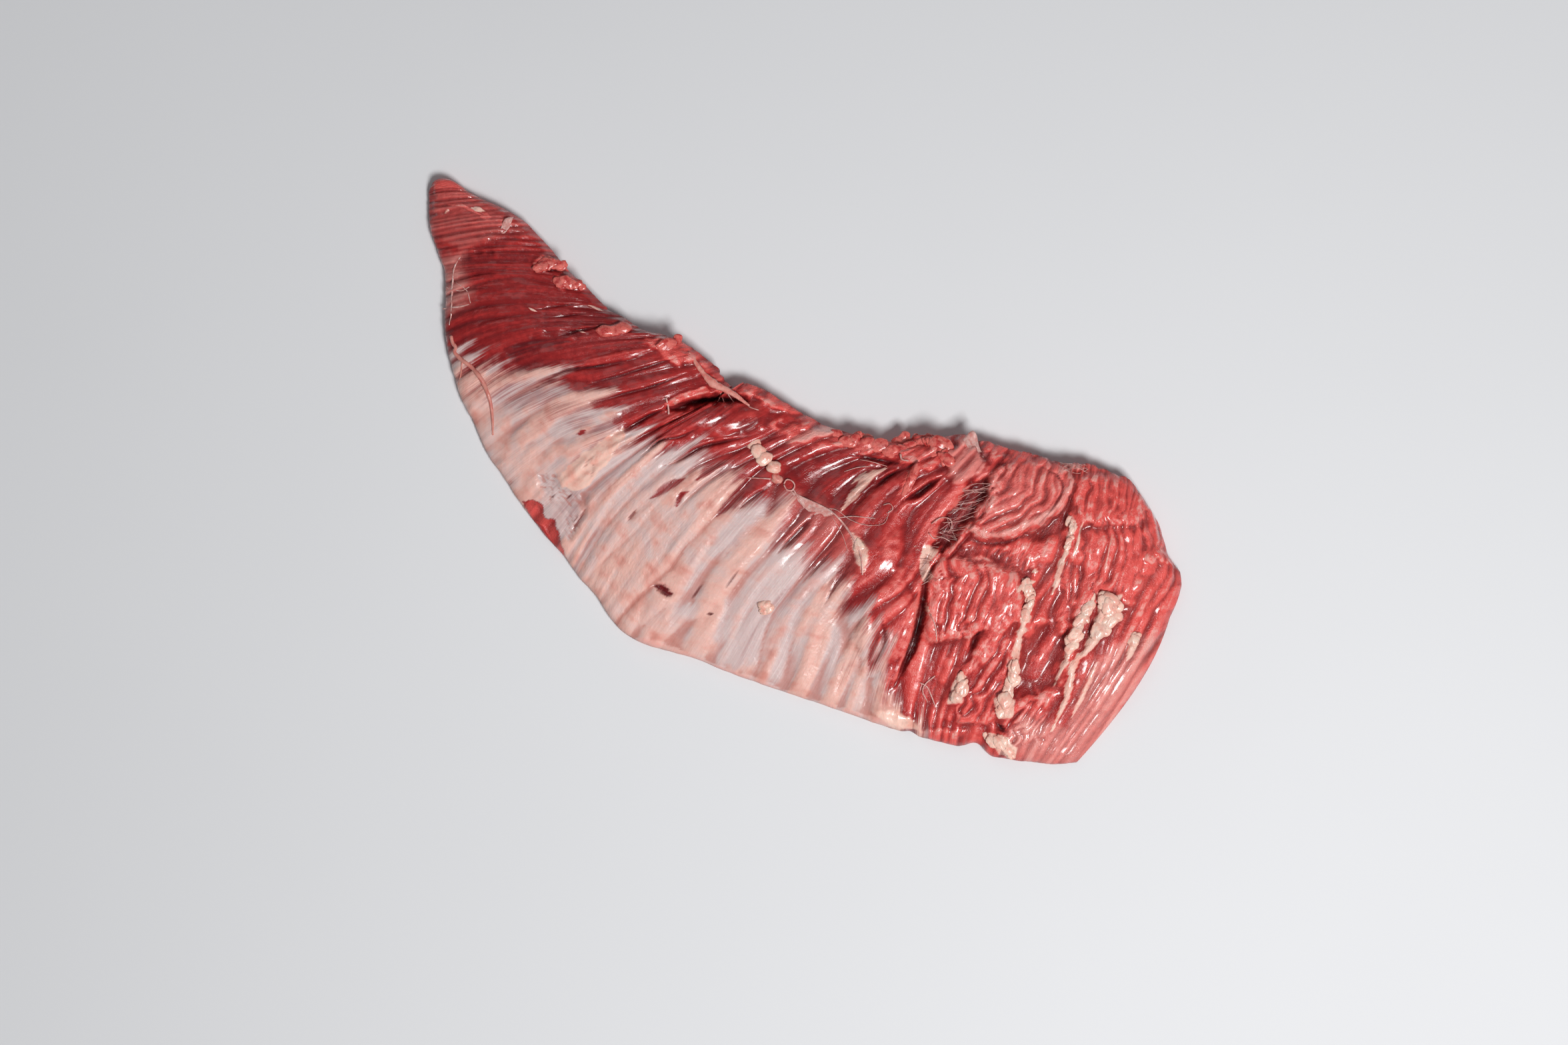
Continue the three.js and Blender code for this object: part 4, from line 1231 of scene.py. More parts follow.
@dataclass
class Trimmings:
    """Builds loose pieces on the finished surface of the steak."""

    surface: SteakSurface
    sides: int = 8
    spacing: float = 0.9

    def __post_init__(self) -> None:
        """Sorts the surface's places, so that the nearest one is found fast."""
        self.tree = KDTree(len(self.surface.height))
        for k, (x, y) in enumerate(self.surface.canvas.places.tolist()):
            self.tree.insert((x, y, 0), k)
        self.tree.balance()

    def ground(self, plan: Array) -> Array:
        """The steak's height at plan places."""
        return np.array([self.surface.height[self.tree.find((x, y, 0))[1]] for x, y in plan.tolist()])

    def resampled(self, points: Pixels) -> Array:
        """A smooth curve through pixels, with even spacing in millimetres."""
        path = smooth_path(from_photo(points), 8)
        run = np.insert(np.cumsum(np.linalg.norm(np.diff(path, axis=0), axis=1)), 0, 0)
        at = np.linspace(0, run[-1], max(4, int(run[-1] / self.spacing) + 1))
        return np.stack([np.interp(at, run, path[:, 0]), np.interp(at, run, path[:, 1])], -1)

    def strand(self, shells: Shells, s: Strand) -> None:
        """Adds one strand."""
        plan = self.resampled(s.path)
        share = np.linspace(0, 1, len(plan))
        ground = self.ground(plan)
        if s.spans:
            ground = mix(ground[0], ground[-1], share)
        else:
            ground = np.convolve(np.pad(ground, 2, mode="edge"), np.full(5, 0.2), "valid")
        middle = np.column_stack([plan + self.surface.shift, ground + np.interp(share, (0, 0.5, 1), s.lift)])
        radius = np.interp(share, (0, 0.5, 1), s.radius)
        radius = radius * (1 + s.lumpy * layered_noise(plan[:, 0] / 2.3, plan[:, 1] / 2.3, 2))
        along = np.gradient(middle, axis=0)
        along /= np.linalg.norm(along, axis=1)[:, None]
        aside = np.cross(along, (0, 0, 1.0))
        aside /= np.linalg.norm(aside, axis=1)[:, None]
        over = np.cross(aside, along)
        angle = np.arange(self.sides) * 2 * math.pi / self.sides
        rows = [
            m + r * (np.cos(angle)[:, None] * a + s.flat * np.sin(angle)[:, None] * o)
            for m, r, a, o in zip(middle, radius, aside, over)
        ]
        tip = along[0] * radius[0] * 0.7, along[-1] * radius[-1] * 0.7
        shells.rings(rows, middle[0] - tip[0], middle[-1] + tip[1])

    def lump(self, shells: Shells, p: Lump) -> None:
        """Adds one lobe, with a third of it sunk in the meat."""
        plan = from_photo([p.place])
        length, width, height = p.size
        angle = np.arange(LOBE_SIDES) * 2 * math.pi / LOBE_SIDES
        turn = math.radians(p.turn)
        rows = []
        for lift in np.radians(np.linspace(-LOBE_LAST_ROW, LOBE_LAST_ROW, LOBE_ROWS)):
            level, reach = math.sin(lift), math.cos(lift)
            x, y = np.cos(angle) * reach, np.sin(angle) * reach
            swell = 1 + p.lumpy * layered_noise(x * 1.7 + plan[0, 0], y * 1.7 + level + plan[0, 1], 3)
            x, y = x * swell * length / 2, y * swell * width / 2
            z = level * swell * height * (LOBE_OVER if level > 0 else LOBE_UNDER)
            turned = x * math.cos(turn) - y * math.sin(turn), x * math.sin(turn) + y * math.cos(turn)
            rows.append(np.column_stack([*turned, z]))
        middle = np.array([*(plan[0] + self.surface.shift), self.ground(plan)[0]])
        ends = middle - (0, 0, (LOBE_UNDER + 0.01) * height), middle + (0, 0, (LOBE_OVER + 0.01) * height)
        shells.rings([middle + row for row in rows], *ends)

    def scrap(self, shells: Shells, p: Scrap) -> None:
        """Adds one torn flap."""
        ring = smooth_path(np.vstack([from_photo(p.ring), from_photo(p.ring[:1])]), 4)[:-1]
        if not np.sum(ring[:, 0] * np.roll(ring[:, 1], -1) - ring[:, 1] * np.roll(ring[:, 0], -1)) > 0:
            ring = ring[::-1]
        centre = ring.mean(0)
        way = np.array([math.cos(math.radians(p.raised)), math.sin(math.radians(p.raised))])
        span = np.abs((ring - centre) @ way).max()
        level = float(np.median(self.ground(ring)))
        upper, lower = [], []
        for share in SCRAP_RINGS:
            plan = centre + (ring - centre) * share
            rise = p.lift * smooth((plan - centre) @ way / span, -0.6, 1.0)
            rise = rise + 0.35 * layered_noise(plan[:, 0] / 1.6, plan[:, 1] / 1.6, 2)
            half = p.thickness / 2 * math.sqrt(max(1 - share**4, 0.04))
            ground = mix(self.ground(plan), level, 0.5)
            upper.append(np.column_stack([plan + self.surface.shift, ground + rise + half]))
            lower.append(np.column_stack([plan + self.surface.shift, ground + rise - half]))
        shells.rings(lower + upper[::-1], lower[0].mean(0), upper[0].mean(0))

    def build(self, name: str, items: Sequence[Strand | Lump | Scrap]) -> bpy.types.Object:
        """Makes one object of several loose pieces.

        Args:
            name: The object's name.
            items: What it holds.

        Returns:
            The object.
        """
        shells = Shells()
        for item in items:
            if isinstance(item, Strand):
                self.strand(shells, item)
            elif isinstance(item, Lump):
                self.lump(shells, item)
            else:
                self.scrap(shells, item)
        return shells.make(name)


PINK_BITS = (
    Lump((1165, 719), (6, 5.2, 2.4), 0, 0.35),
    Strand(((1034, 530), (1046, 548), (1056, 562), (1070, 576), (1086, 584), (1104, 594), (1117, 604),
        (1124, 609)), (0.4, 2.1, 0.5), (0.4, 0.6, 0.4), True, 0.45, 0.3),
)
FAT_LUMPS = (
    Lump((1131, 668), (7.4, 6, 1.6), 40, 0.35),
    Lump((1138, 678), (8.6, 6.6, 1.9), 120, 0.35),
    Lump((1147, 689), (8, 6.2, 1.9), 30, 0.35),
    Lump((1161, 702), (7.4, 6.2, 3.2), 0, 0.25),
    Lump((1147, 907), (6.6, 5, 3), 20, 0.35),
    Lump((1154, 912), (5.4, 4.8, 2.8), 80, 0.35),
    Lump((1147, 916), (5.6, 4.2, 2.6), 10, 0.35),
)
CORAL_BITS = (
    Scrap(((893, 497), (905, 489), (920, 490), (936, 483), (948, 490), (944, 499), (925, 505), (906, 507)),
        0.9, 1.6, 200),
    Scrap(((984, 520), (1000, 508), (1016, 512), (1010, 524), (994, 530)), 1, 2, 120),
    Scrap(((1006, 512), (1014, 502), (1024, 505), (1020, 518), (1010, 522)), 1, 2.4, 60),
    Scrap(((1350, 744), (1358, 720), (1368, 700), (1378, 694), (1376, 712), (1366, 734), (1356, 750)),
        0.9, 2, 20),
)
WEB_STRANDS = (
    Strand(((690, 385), (681, 400), (678, 422), (677, 441), (676, 470), (673, 487)),
        (0.3, 0.5, 0.3), (0, 0.1, 0), flat=0.4),
    Strand(((662, 462), (690, 460), (706, 456)), (0.3, 0.5, 0.2), (0, 0.1, 0), flat=0.4),
    Strand(((684, 424), (700, 436), (706, 455)), (0.2, 0.25, 0.2), (0, 0.1, 0)),
    Strand(((668, 430), (690, 436), (704, 430)), (0.2, 0.25, 0.2), (0, 0.1, 0)),
    Strand(((1075, 579), (1085, 600), (1088, 612)), (0.3, 0.2, 0.25), (0, -1.2, 0.4)),
    Strand(((1091, 590), (1098, 600), (1106, 610)), (0.3, 0.2, 0.3), (0, -0.8, 0.4)),
    Strand(((1082, 588), (1078, 600), (1070, 610)), (0.25, 0.16, 0.2), (0, -0.8, 0.4)),
    Strand(((1117, 604), (1126, 612), (1138, 616)), (0.3, 0.35, 0.2), (0.3, 0.4, 0.2)),
    Strand(((1000, 598), (1003, 610), (1004, 622)), (0.5, 0.4, 0.5), (0.4, 0.6, 0.4)),
    Strand(((1120, 717), (1138, 718), (1156, 719)), (0.25, 0.3, 0.4), (0.2, 0.5, 0.5)),
    Strand(((1176, 726), (1180, 720), (1188, 722), (1192, 729), (1188, 736), (1180, 735), (1176, 728)),
        (0.35, 0.4, 0.35), (0.5, 0.9, 0.5)),
    Strand(((1190, 735), (1200, 751), (1206, 762)), (0.4, 0.35, 0.3), (0.4, 0.5, 0.3)),
    Strand(((1196, 742), (1219, 762), (1241, 765), (1257, 777), (1276, 802), (1290, 832), (1293, 862)),
        (0.25, 0.5, 0.3), (0.3, 0.5, 0.3), False, 0.4, 0.4),
    Strand(((1225, 767), (1251, 764), (1275, 780), (1299, 788), (1324, 786), (1332, 772)),
        (0.14, 0.18, 0.14), (0.3, 0.7, 0.3)),
    Strand(((1241, 765), (1262, 800), (1272, 830)), (0.12, 0.16, 0.1), (0.3, 0.5, 0.2)),
    Strand(((1257, 777), (1280, 775), (1312, 778)), (0.2, 0.25, 0.15), (0.3, 0.5, 0.2)),
    Strand(((1330, 770), (1338, 764), (1334, 756), (1324, 758)), (0.25, 0.25, 0.15), (0.3, 0.8, 0.5)),
    Scrap(((771, 326), (765, 342), (756, 351), (751, 347), (756, 332), (763, 327)), 0.7, 2, 60),
    Scrap(((1443, 660), (1456, 647), (1464, 652), (1468, 670), (1476, 690), (1470, 700), (1456, 680)),
        0.6, 1.2, 90),
    Scrap(((1183, 735), (1203, 745), (1240, 762), (1250, 772), (1228, 775), (1206, 762)), 0.4, 0.5, 60),
    Strand(((1350, 682), (1352, 690), (1362, 692)), (0.5, 0.4, 0.3), (0.6, 1, 0.5)),
    Strand(((1396, 786), (1410, 777), (1424, 779), (1427, 790), (1421, 799)),
        (0.3, 0.3, 0.25), (0.8, 1.8, 0.8)),
    Strand(((1392, 800), (1400, 808), (1412, 806), (1424, 812)), (0.25, 0.25, 0.25), (0.8, 1.4, 0.8)),
    Strand(((1379, 1024), (1390, 1030), (1397, 1044), (1403, 1060)), (0.3, 0.35, 0.25), (0.3, 0.6, 0.3)),
    Strand(((1402, 1014), (1388, 1026), (1384, 1038), (1392, 1054)), (0.3, 0.35, 0.25), (0.3, 0.7, 0.3)),
    Strand(((1395, 921), (1402, 940), (1404, 962)), (0.3, 0.35, 0.2), (0.2, 0.4, 0.2)),
    Strand(((1266, 708), (1285, 702), (1304, 700)), (0.15, 0.2, 0.15), (0.3, 0.6, 0.3)),
    Strand(((1290, 690), (1310, 694), (1330, 700)), (0.15, 0.2, 0.2), (0.6, 0.9, 0.6)),
)
VEIN = (
    Strand(((676, 504), (678, 514), (683, 521), (681, 528), (690, 538), (707, 551), (721, 568), (730, 587),
        (735, 604), (738, 632), (738, 652)), (0.9, 1.15, 0.5), (0.1, 0.25, -0.1)),
    Strand(((693, 541), (690, 560), (686, 576)), (0.5, 0.4, 0.2), (0.1, 0.1, -0.1)),
)


CLUSTER_LUMPINESS = 0.34


@dataclass(frozen=True)
class LobeCluster:
    """Lobes crowded along a curve through pixels. size is a lobe's length, and spread is in pixels."""

    path: Pixels
    size: float
    count: int
    spread: float
    seed: int

    def lumps(self) -> list[Lump]:
        """The lobes."""
        rng = np.random.default_rng(self.seed)
        curve = smooth_path(np.asarray(self.path, float), 8)
        made = []
        for k in np.linspace(0, len(curve) - 2, self.count).astype(int):
            x, y = curve[k] + rng.normal(0, self.spread, 2)
            east, south = curve[k + 1] - curve[k]
            turn = math.degrees(math.atan2(-south, east)) + rng.normal(0, 25)
            long = self.size * rng.uniform(0.8, 1.4)
            size = long, long * rng.uniform(0.5, 0.75), long * rng.uniform(0.13, 0.2)
            made.append(Lump((x, y), size, turn, CLUSTER_LUMPINESS))
        return made


FAT_CLUSTERS = (
    LobeCluster(((1656, 898), (1668, 912), (1660, 930), (1648, 950)), 7.6, 22, 5, 2),
    LobeCluster(((1636, 903), (1622, 926), (1612, 948), (1602, 975)), 6.4, 15, 1, 3),
    LobeCluster(((1536, 873), (1543, 898), (1535, 925)), 5.6, 11, 1.2, 4),
    LobeCluster(((1521, 1000), (1516, 1026), (1508, 1046), (1500, 1068)), 6.4, 16, 1.8, 5),
    LobeCluster(((1438, 1014), (1441, 1032), (1432, 1048)), 6.2, 10, 2.4, 6),
    LobeCluster(((1603, 782), (1605, 798), (1598, 824)), 4.2, 9, 0.7, 8),
    LobeCluster(((1700, 958), (1695, 978)), 5.4, 7, 1.2, 9),
    LobeCluster(((1484, 1108), (1504, 1116), (1516, 1132)), 6.2, 8, 2.4, 10),
    LobeCluster(((1288, 820), (1294, 842)), 5.2, 6, 1.8, 12),
)

CORAL_CLUSTERS = (
    LobeCluster(((1352, 668), (1385, 664), (1410, 670), (1420, 692)), 8, 20, 4.5, 21),
    LobeCluster(((1262, 658), (1300, 664), (1340, 676)), 7, 13, 3.6, 22),
    LobeCluster(((808, 402), (826, 397), (844, 400)), 6.5, 8, 2, 23),
    LobeCluster(((838, 424), (858, 425), (874, 432)), 6.5, 8, 1.6, 24),
)


@dataclass(frozen=True)
class Threads:
    """A fan of fine fibres between two lines of pixels."""

    start: Pixels
    end: Pixels
    count: int
    radius: float
    sag: float
    seed: int

    def strands(self) -> list[Strand]:
        """The fibres."""
        rng = np.random.default_rng(self.seed)
        starts, ends = (smooth_path(np.asarray(line, float), 6) for line in (self.start, self.end))
        made = []
        for share in np.sort(rng.random(self.count)):
            a = starts[int(share * (len(starts) - 1))] + rng.normal(0, 1.5, 2)
            end_share = np.clip(share + rng.normal(0, 0.16), 0, 1)
            b = ends[int(end_share * (len(ends) - 1))] + rng.normal(0, 2.0, 2)
            c = (a + b) / 2 + rng.normal(0, 4.0, 2)
            thin = self.radius * rng.uniform(0.5, 1.5)
            lift = 0.1, -self.sag * rng.random(), 0.1
            made.append(Strand((tuple(a), tuple(c), tuple(b)), (thin, thin * 0.8, thin), lift, True))
        return made


TORN_THREADS = (
    Threads(((1444, 736), (1424, 772), (1400, 812)), ((1484, 728), (1466, 760), (1436, 812)),
        30, 0.11, 2.5, 5),
    Threads(((1594, 708), (1592, 700), (1590, 694)), ((1632, 712), (1630, 704), (1626, 698)),
        7, 0.12, -0.1, 8),
    Threads(((1372, 820), (1380, 850), (1376, 876)), ((1408, 812), (1404, 846), (1392, 872)),
        12, 0.14, 1, 11),
)


# --- shader tools

Colour = tuple[float, float, float]
Node = bpy.types.Node
Socket = bpy.types.NodeSocket


class Tree:
    """Short ways to add and join the nodes of one shader tree."""

    def __init__(self, tree: bpy.types.NodeTree) -> None:
        """Keeps the tree that the nodes go into."""
        self.tree = tree

    def put(self, value: object, node: Node, name: str | int) -> None:
        """Links a socket to a node's input, or sets the input's own value."""
        if isinstance(value, Socket):
            self.tree.links.new(value, node.inputs[name])
        else:
            node.inputs[name].default_value = value

    def node(self, kind: str, inputs: dict | None = None, **settings: object) -> Node:
        """Adds a node.

        Args:
            kind: The node's type, without the words that all shader nodes start with.
            inputs: Socket name or number to a socket, which is linked, or to a value.
            settings: The node's own properties.

        Returns:
            The node.
        """
        made = self.tree.nodes.new(kind if kind.startswith("Node") else "ShaderNode" + kind)
        for name, value in settings.items():
            setattr(made, name, value)
        for name, value in (inputs or {}).items():
            self.put(value, made, name)
        return made

    def plus(self, a: object, b: object, clamp: bool = False) -> Socket:
        """a + b, held between 0 and 1 if clamp is set."""
        return self.node("Math", {0: a, 1: b}, operation="ADD", use_clamp=clamp).outputs[0]

    def minus(self, a: object, b: object, clamp: bool = False) -> Socket:
        """a - b, held between 0 and 1 if clamp is set."""
        return self.node("Math", {0: a, 1: b}, operation="SUBTRACT", use_clamp=clamp).outputs[0]

    def times(self, a: object, b: object) -> Socket:
        """a times b."""
        return self.node("Math", {0: a, 1: b}, operation="MULTIPLY").outputs[0]

    def over(self, a: object, b: object) -> Socket:
        """a divided by b."""
        return self.node("Math", {0: a, 1: b}, operation="DIVIDE").outputs[0]

    def blend(self, share: object, a: Socket | Colour, b: Socket | Colour) -> Socket:
        """A mix of two colours."""
        made = self.node("Mix", {0: share}, data_type="RGBA")
        for slot, value in ((6, a), (7, b)):
            self.put(value if isinstance(value, Socket) else (*value, 1.0), made, slot)
        return made.outputs[2]

    def fit(self, value: Socket, low: float, high: float, to_low: float = 0, to_high: float = 1) -> Socket:
        """value with low..high mapped onto to_low..to_high, and held there outside."""
        inputs = {0: value, 1: low, 2: high, 3: to_low, 4: to_high}
        return self.node("MapRange", inputs, interpolation_type="SMOOTHSTEP").outputs[0]

    def cloud(self, place: Socket, scale: object, detail: float, rough: float = 0.5) -> Socket:
        """Soft noise, about 0.3 to 0.7."""
        inputs = {"Vector": place, "Scale": scale, "Detail": detail, "Roughness": rough}
        return self.node("TexNoise", inputs).outputs["Fac"]

    def mask(self, name: str) -> Socket:
        """A mask stored on the mesh."""
        return self.node("Attribute", attribute_name=name).outputs["Fac"]

    def scaled(self, place: Socket, factor: float) -> Socket:
        """A place times a factor."""
        return self.node("VectorMath", {0: place, "Scale": factor}, operation="SCALE").outputs[0]

    def relief(self, height: Socket, shader: Node) -> None:
        """Gives a shader a relief whose height is in millimetres."""
        bump = self.node("Bump", {"Height": height, "Distance": MM, "Strength": 1.0})
        self.put(bump.outputs[0], shader, "Normal")


def new_group(name: str, takes: dict[str, object], gives: dict[str, str]) -> tuple[Tree, Node, Node]:
    """An empty node group with named sockets.

    Args:
        name: The group's name.
        takes: Input name to its default: a number, or "vector".
        gives: Output name to its socket type.

    Returns:
        The group's tree tools, its input node and its output node.
    """
    group = bpy.data.node_groups.new(name, "ShaderNodeTree")
    for title, default in takes.items():
        kind = "NodeSocketVector" if default == "vector" else "NodeSocketFloat"
        socket = group.interface.new_socket(title, in_out="INPUT", socket_type=kind)
        if kind == "NodeSocketFloat":
            socket.default_value = default
    for title, kind in gives.items():
        group.interface.new_socket(title, in_out="OUTPUT", socket_type=kind)
    tree = Tree(group)
    return tree, tree.node("NodeGroupInput"), tree.node("NodeGroupOutput")


def grain_streaks_group() -> bpy.types.NodeTree:
    """Streaks along the grain: a value from 0 to 1 that changes fast across it and slowly along it."""
    takes = {"Place": "vector", "Width": 4.0, "Length": 40.0, "Bend": 1.5, "Seed": 0.0}
    tree, given, gives = new_group("grain_streaks", takes, {"Streak": "NodeSocketFloat"})
    place, width, length, bend, seed = (given.outputs[name] for name in takes)
    parts = tree.node("SeparateXYZ", {0: place})
    moved = tree.times(tree.minus(tree.cloud(place, 0.022, 1.0), 0.5), bend)
    side = tree.over(tree.plus(parts.outputs[0], tree.times(moved, 4.0)), width)
    run = tree.over(parts.outputs[1], length)
    drawn_out = tree.node("CombineXYZ", {0: side, 1: run, 2: seed}).outputs[0]
    tree.put(tree.fit(tree.cloud(drawn_out, 1.0, 2.5, 0.55), 0.28, 0.72), gives, "Streak")
    return tree.tree


def wet_wrinkles_group() -> bpy.types.NodeTree:
    """The fine relief of wet tissue, in millimetres: wrinkles, pits and a film that pools between them."""
    takes = {"Place": "vector", "Size": 2.5, "Depth": 0.1}
    gives = {"Height": "NodeSocketFloat", "Film": "NodeSocketFloat"}
    tree, given, out = new_group("wet_wrinkles", takes, gives)
    place, size, depth = (given.outputs[name] for name in takes)
    scale = tree.over(1.0, size)
    pits = tree.node("TexVoronoi", {"Vector": place, "Scale": tree.times(scale, 3.7)}).outputs["Distance"]
    bumps = tree.plus(tree.cloud(place, scale, 4.0, 0.6), tree.times(pits, 0.22))
    tree.put(tree.times(tree.minus(bumps, 0.6), depth), out, "Height")
    tree.put(tree.fit(tree.cloud(place, tree.times(scale, 0.35), 2.0), 0.35, 0.65), out, "Film")
    return tree.tree


# --- finishes


@dataclass(frozen=True)
class Groups:
    """The node groups that the materials share."""

    streaks: bpy.types.NodeTree
    wrinkles: bpy.types.NodeTree


@dataclass(frozen=True)
class WetShell:
    """The gloss of wet tissue. Lengths are millimetres."""

    scatter: float = 0.12
    scatter_depth: float = 1.6
    scatter_red: Colour = (1.0, 0.32, 0.24)
    bend: float = 1.36
    shine: float = 0.42
    coat_rough: float = 0.13
    coat_bend: float = 1.45

    def apply(self, shader: Node) -> None:
        """Sets the shader's uniform values."""
        values = {
            "Subsurface Weight": self.scatter,
            "Subsurface Radius": self.scatter_red,
            "Subsurface Scale": self.scatter_depth * MM,
            "IOR": self.bend,
            "Specular IOR Level": self.shine,
            "Coat Roughness": self.coat_rough,
            "Coat IOR": self.coat_bend,
        }
        for name, value in values.items():
            shader.inputs[name].default_value = value


def new_material(name: str) -> tuple[bpy.types.Material, Tree, Node]:
    """A material with an empty tree that ends in one Principled shader."""
    material = bpy.data.materials.new(name)
    material.use_nodes = True
    material.node_tree.nodes.clear()
    tree = Tree(material.node_tree)
    shader = tree.node("BsdfPrincipled")
    tree.node("OutputMaterial", {"Surface": shader.outputs[0]})
    return material, tree, shader


@dataclass(frozen=True)
class Grained:
    """What the steak's colours are mixed by: its place on the grain map, streaks along it and masks."""

    place: Socket
    wide: Socket
    hair: Socket
    fascia: Socket
    hollow: Socket
    crest: Socket


@dataclass(frozen=True)
class SteakFinish:
    """Bare muscle, silverskin, fat and film on one mesh, laid over each other by its masks."""

    deep: Colour = (0.25, 0.014, 0.015)
    red: Colour = (0.46, 0.032, 0.030)
    coral: Colour = (0.80, 0.105, 0.09)
    # purple serves as painted shade in hollows and cuts and as the colour of purple meat; the near-black
    # after it is painted shadow at the bottom of the deepest cuts.
    purple: Colour = (0.12, 0.009, 0.012)
    shadow_black: Colour = (0.03, 0.004, 0.005)
    skin_white: Colour = (0.90, 0.74, 0.70)
    skin_grey: Colour = (0.68, 0.51, 0.49)
    skin_mauve: Colour = (0.48, 0.29, 0.285)
    skin_haze: Colour = (0.37, 0.13, 0.13)
    skin_warm: Colour = (0.84, 0.49, 0.415)
    skin_pink: Colour = (0.66, 0.24, 0.19)
    fat: Colour = (0.92, 0.59, 0.49)
    fat_pink: Colour = (0.84, 0.38, 0.30)
    film: Colour = (0.86, 0.40, 0.35)
    shell: WetShell = WetShell()

    def make(self, groups: Groups) -> bpy.types.Material:
        """Builds the material.

        Args:
            groups: The shared node groups.

        Returns:
            The material.
        """
        material, tree, shader = new_material("raw_beef_surface")
        grain = tree.node("UVMap", uv_map=GRAIN_MAP)
        place = tree.scaled(grain.outputs[0], GRAIN_MAP_MM)
        tree.put(self.colour(tree, groups, place), shader, "Base Color")
        self.gloss(tree, groups, place, shader)
        self.shell.apply(shader)
        return material

    @staticmethod
    def streak(tree: Tree, groups: Groups, place: Socket, width: float, length: float, seed: float) -> Socket:
        """Streaks of a width and a length along the grain."""
        inputs = {"Place": place, "Width": width, "Length": length, "Seed": seed}
        return tree.node("Group", inputs, node_tree=groups.streaks).outputs["Streak"]

    def colour(self, tree: Tree, groups: Groups, place: Socket) -> Socket:
        """The colour of the whole steak: skin over meat, film and fat over both, and shade in the hollows."""
        wide = self.streak(tree, groups, place, 5.0, 70.0, 1.0)
        narrow = self.streak(tree, groups, place, 1.5, 40.0, 4.0)
        hair = self.streak(tree, groups, place, 0.45, 30.0, 9.0)
        by = Grained(place, wide, hair, *(tree.mask(name) for name in ("fascia", "hollow", "crest")))

        edge = tree.plus(by.fascia, tree.fit(hair, 0, 1, -0.2, 0.2))
        edge = tree.times(edge, tree.fit(by.fascia, 0.0, 0.12))
        haze = tree.blend(tree.times(tree.fit(edge, 0.05, 0.5), 0.7), self.meat(tree, by), self.skin_haze)
        colour = tree.blend(tree.fit(edge, 0.2, 0.95), haze, self.skin(tree, by))

        film = tree.times(tree.mask("veil"), tree.fit(by.crest, 0, 0.6, 0.5, 1.0))
        colour = tree.blend(film, colour, self.film)
        fat = tree.blend(tree.fit(tree.cloud(place, 0.16, 4.0), 0.4, 0.75), self.fat, self.fat_pink)
        colour = tree.blend(tree.fit(tree.mask("fat"), 0.2, 0.75), colour, fat)

        bare = tree.minus(1.0, by.fascia, clamp=True)
        # Painted shade: the hollows of the bare meat are darkened towards purple.
        colour = tree.blend(tree.times(by.hollow, tree.fit(bare, 0, 1, 0.2, 0.62)), colour, self.purple)
        # Painted shade in cuts, pockets and under folds from the mask dark, with the meat's own purple where
        # that mask marks mauve or purple meat; the deepest cuts go near black as painted shadow.
        dark = tree.mask("dark")
        ragged = tree.plus(dark, tree.fit(narrow, 0, 1, -0.2, 0.2), clamp=True)
        ragged = tree.times(ragged, tree.fit(dark, 0.0, 0.15))
        colour = tree.blend(tree.fit(ragged, 0.0, 0.8, 0.0, 0.75), colour, self.purple)
        return tree.blend(tree.fit(ragged, 0.75, 1.1), colour, self.shadow_black)

    def meat(self, tree: Tree, by: Grained) -> Socket:
        """The colour of bare muscle: deep red to coral, lighter on its crests as painted highlight, with a
        thin film on its brightest crests that is partly real membrane and partly painted highlight.
        """
        bright = tree.mask("bright")
        cloud = tree.cloud(by.place, 0.28, 4.0, 0.6)
        tone = tree.plus(bright, tree.fit(by.wide, 0, 1, -0.14, 0.14))
        tone = tree.plus(tone, tree.fit(cloud, 0.3, 0.7, -0.11, 0.11), clamp=True)
        # Painted highlight: the crests are lighter, towards coral.
        tone = tree.plus(tone, tree.times(by.crest, tree.fit(bright, 0.2, 0.6, 0.12, 0.6)), clamp=True)
        meat = tree.blend(tree.fit(tone, 0.0, 0.5), self.deep, self.red)
        meat = tree.blend(tree.fit(tone, 0.4, 1.0), meat, self.coral)
        # A pale film along the crests: partly a real membrane line, partly painted highlight.
        seam = tree.times(tree.fit(by.crest, 0.3, 0.9), tree.fit(cloud, 0.4, 0.6))
        seam = tree.times(seam, tree.fit(bright, 0.3, 0.7, 0.0, 0.8))
        seam = tree.times(seam, tree.fit(tree.mask("rim"), 0.0, 0.6, 1.0, 0.1))
        return tree.blend(seam, meat, self.film)

    def skin(self, tree: Tree, by: Grained) -> Socket:
        """The colour of the silverskin: grey with white hairs, and warm bands, both pink in the hollows."""
        mottle = tree.cloud(by.place, 0.12, 2.5)
        band = tree.plus(tree.mask("warm"), tree.fit(mottle, 0.3, 0.7, -0.25, 0.25))
        core = tree.plus(by.wide, tree.fit(by.fascia, 0.7, 1.0, 0.0, 0.45))
        grey = tree.blend(tree.fit(core, 0.3, 0.9), self.skin_mauve, self.skin_grey)
        grey = tree.blend(tree.times(tree.fit(by.hair, 0.5, 1.0), 0.28), grey, self.skin_white)
        warm = tree.blend(tree.fit(mottle, 0.45, 0.85), self.skin_warm, self.skin_pink)
        skin = tree.blend(tree.fit(band, 0.0, 1.0), grey, warm)
        return tree.blend(tree.fit(by.hollow, 0.25, 1.0, 0.0, 0.6), skin, self.skin_pink)

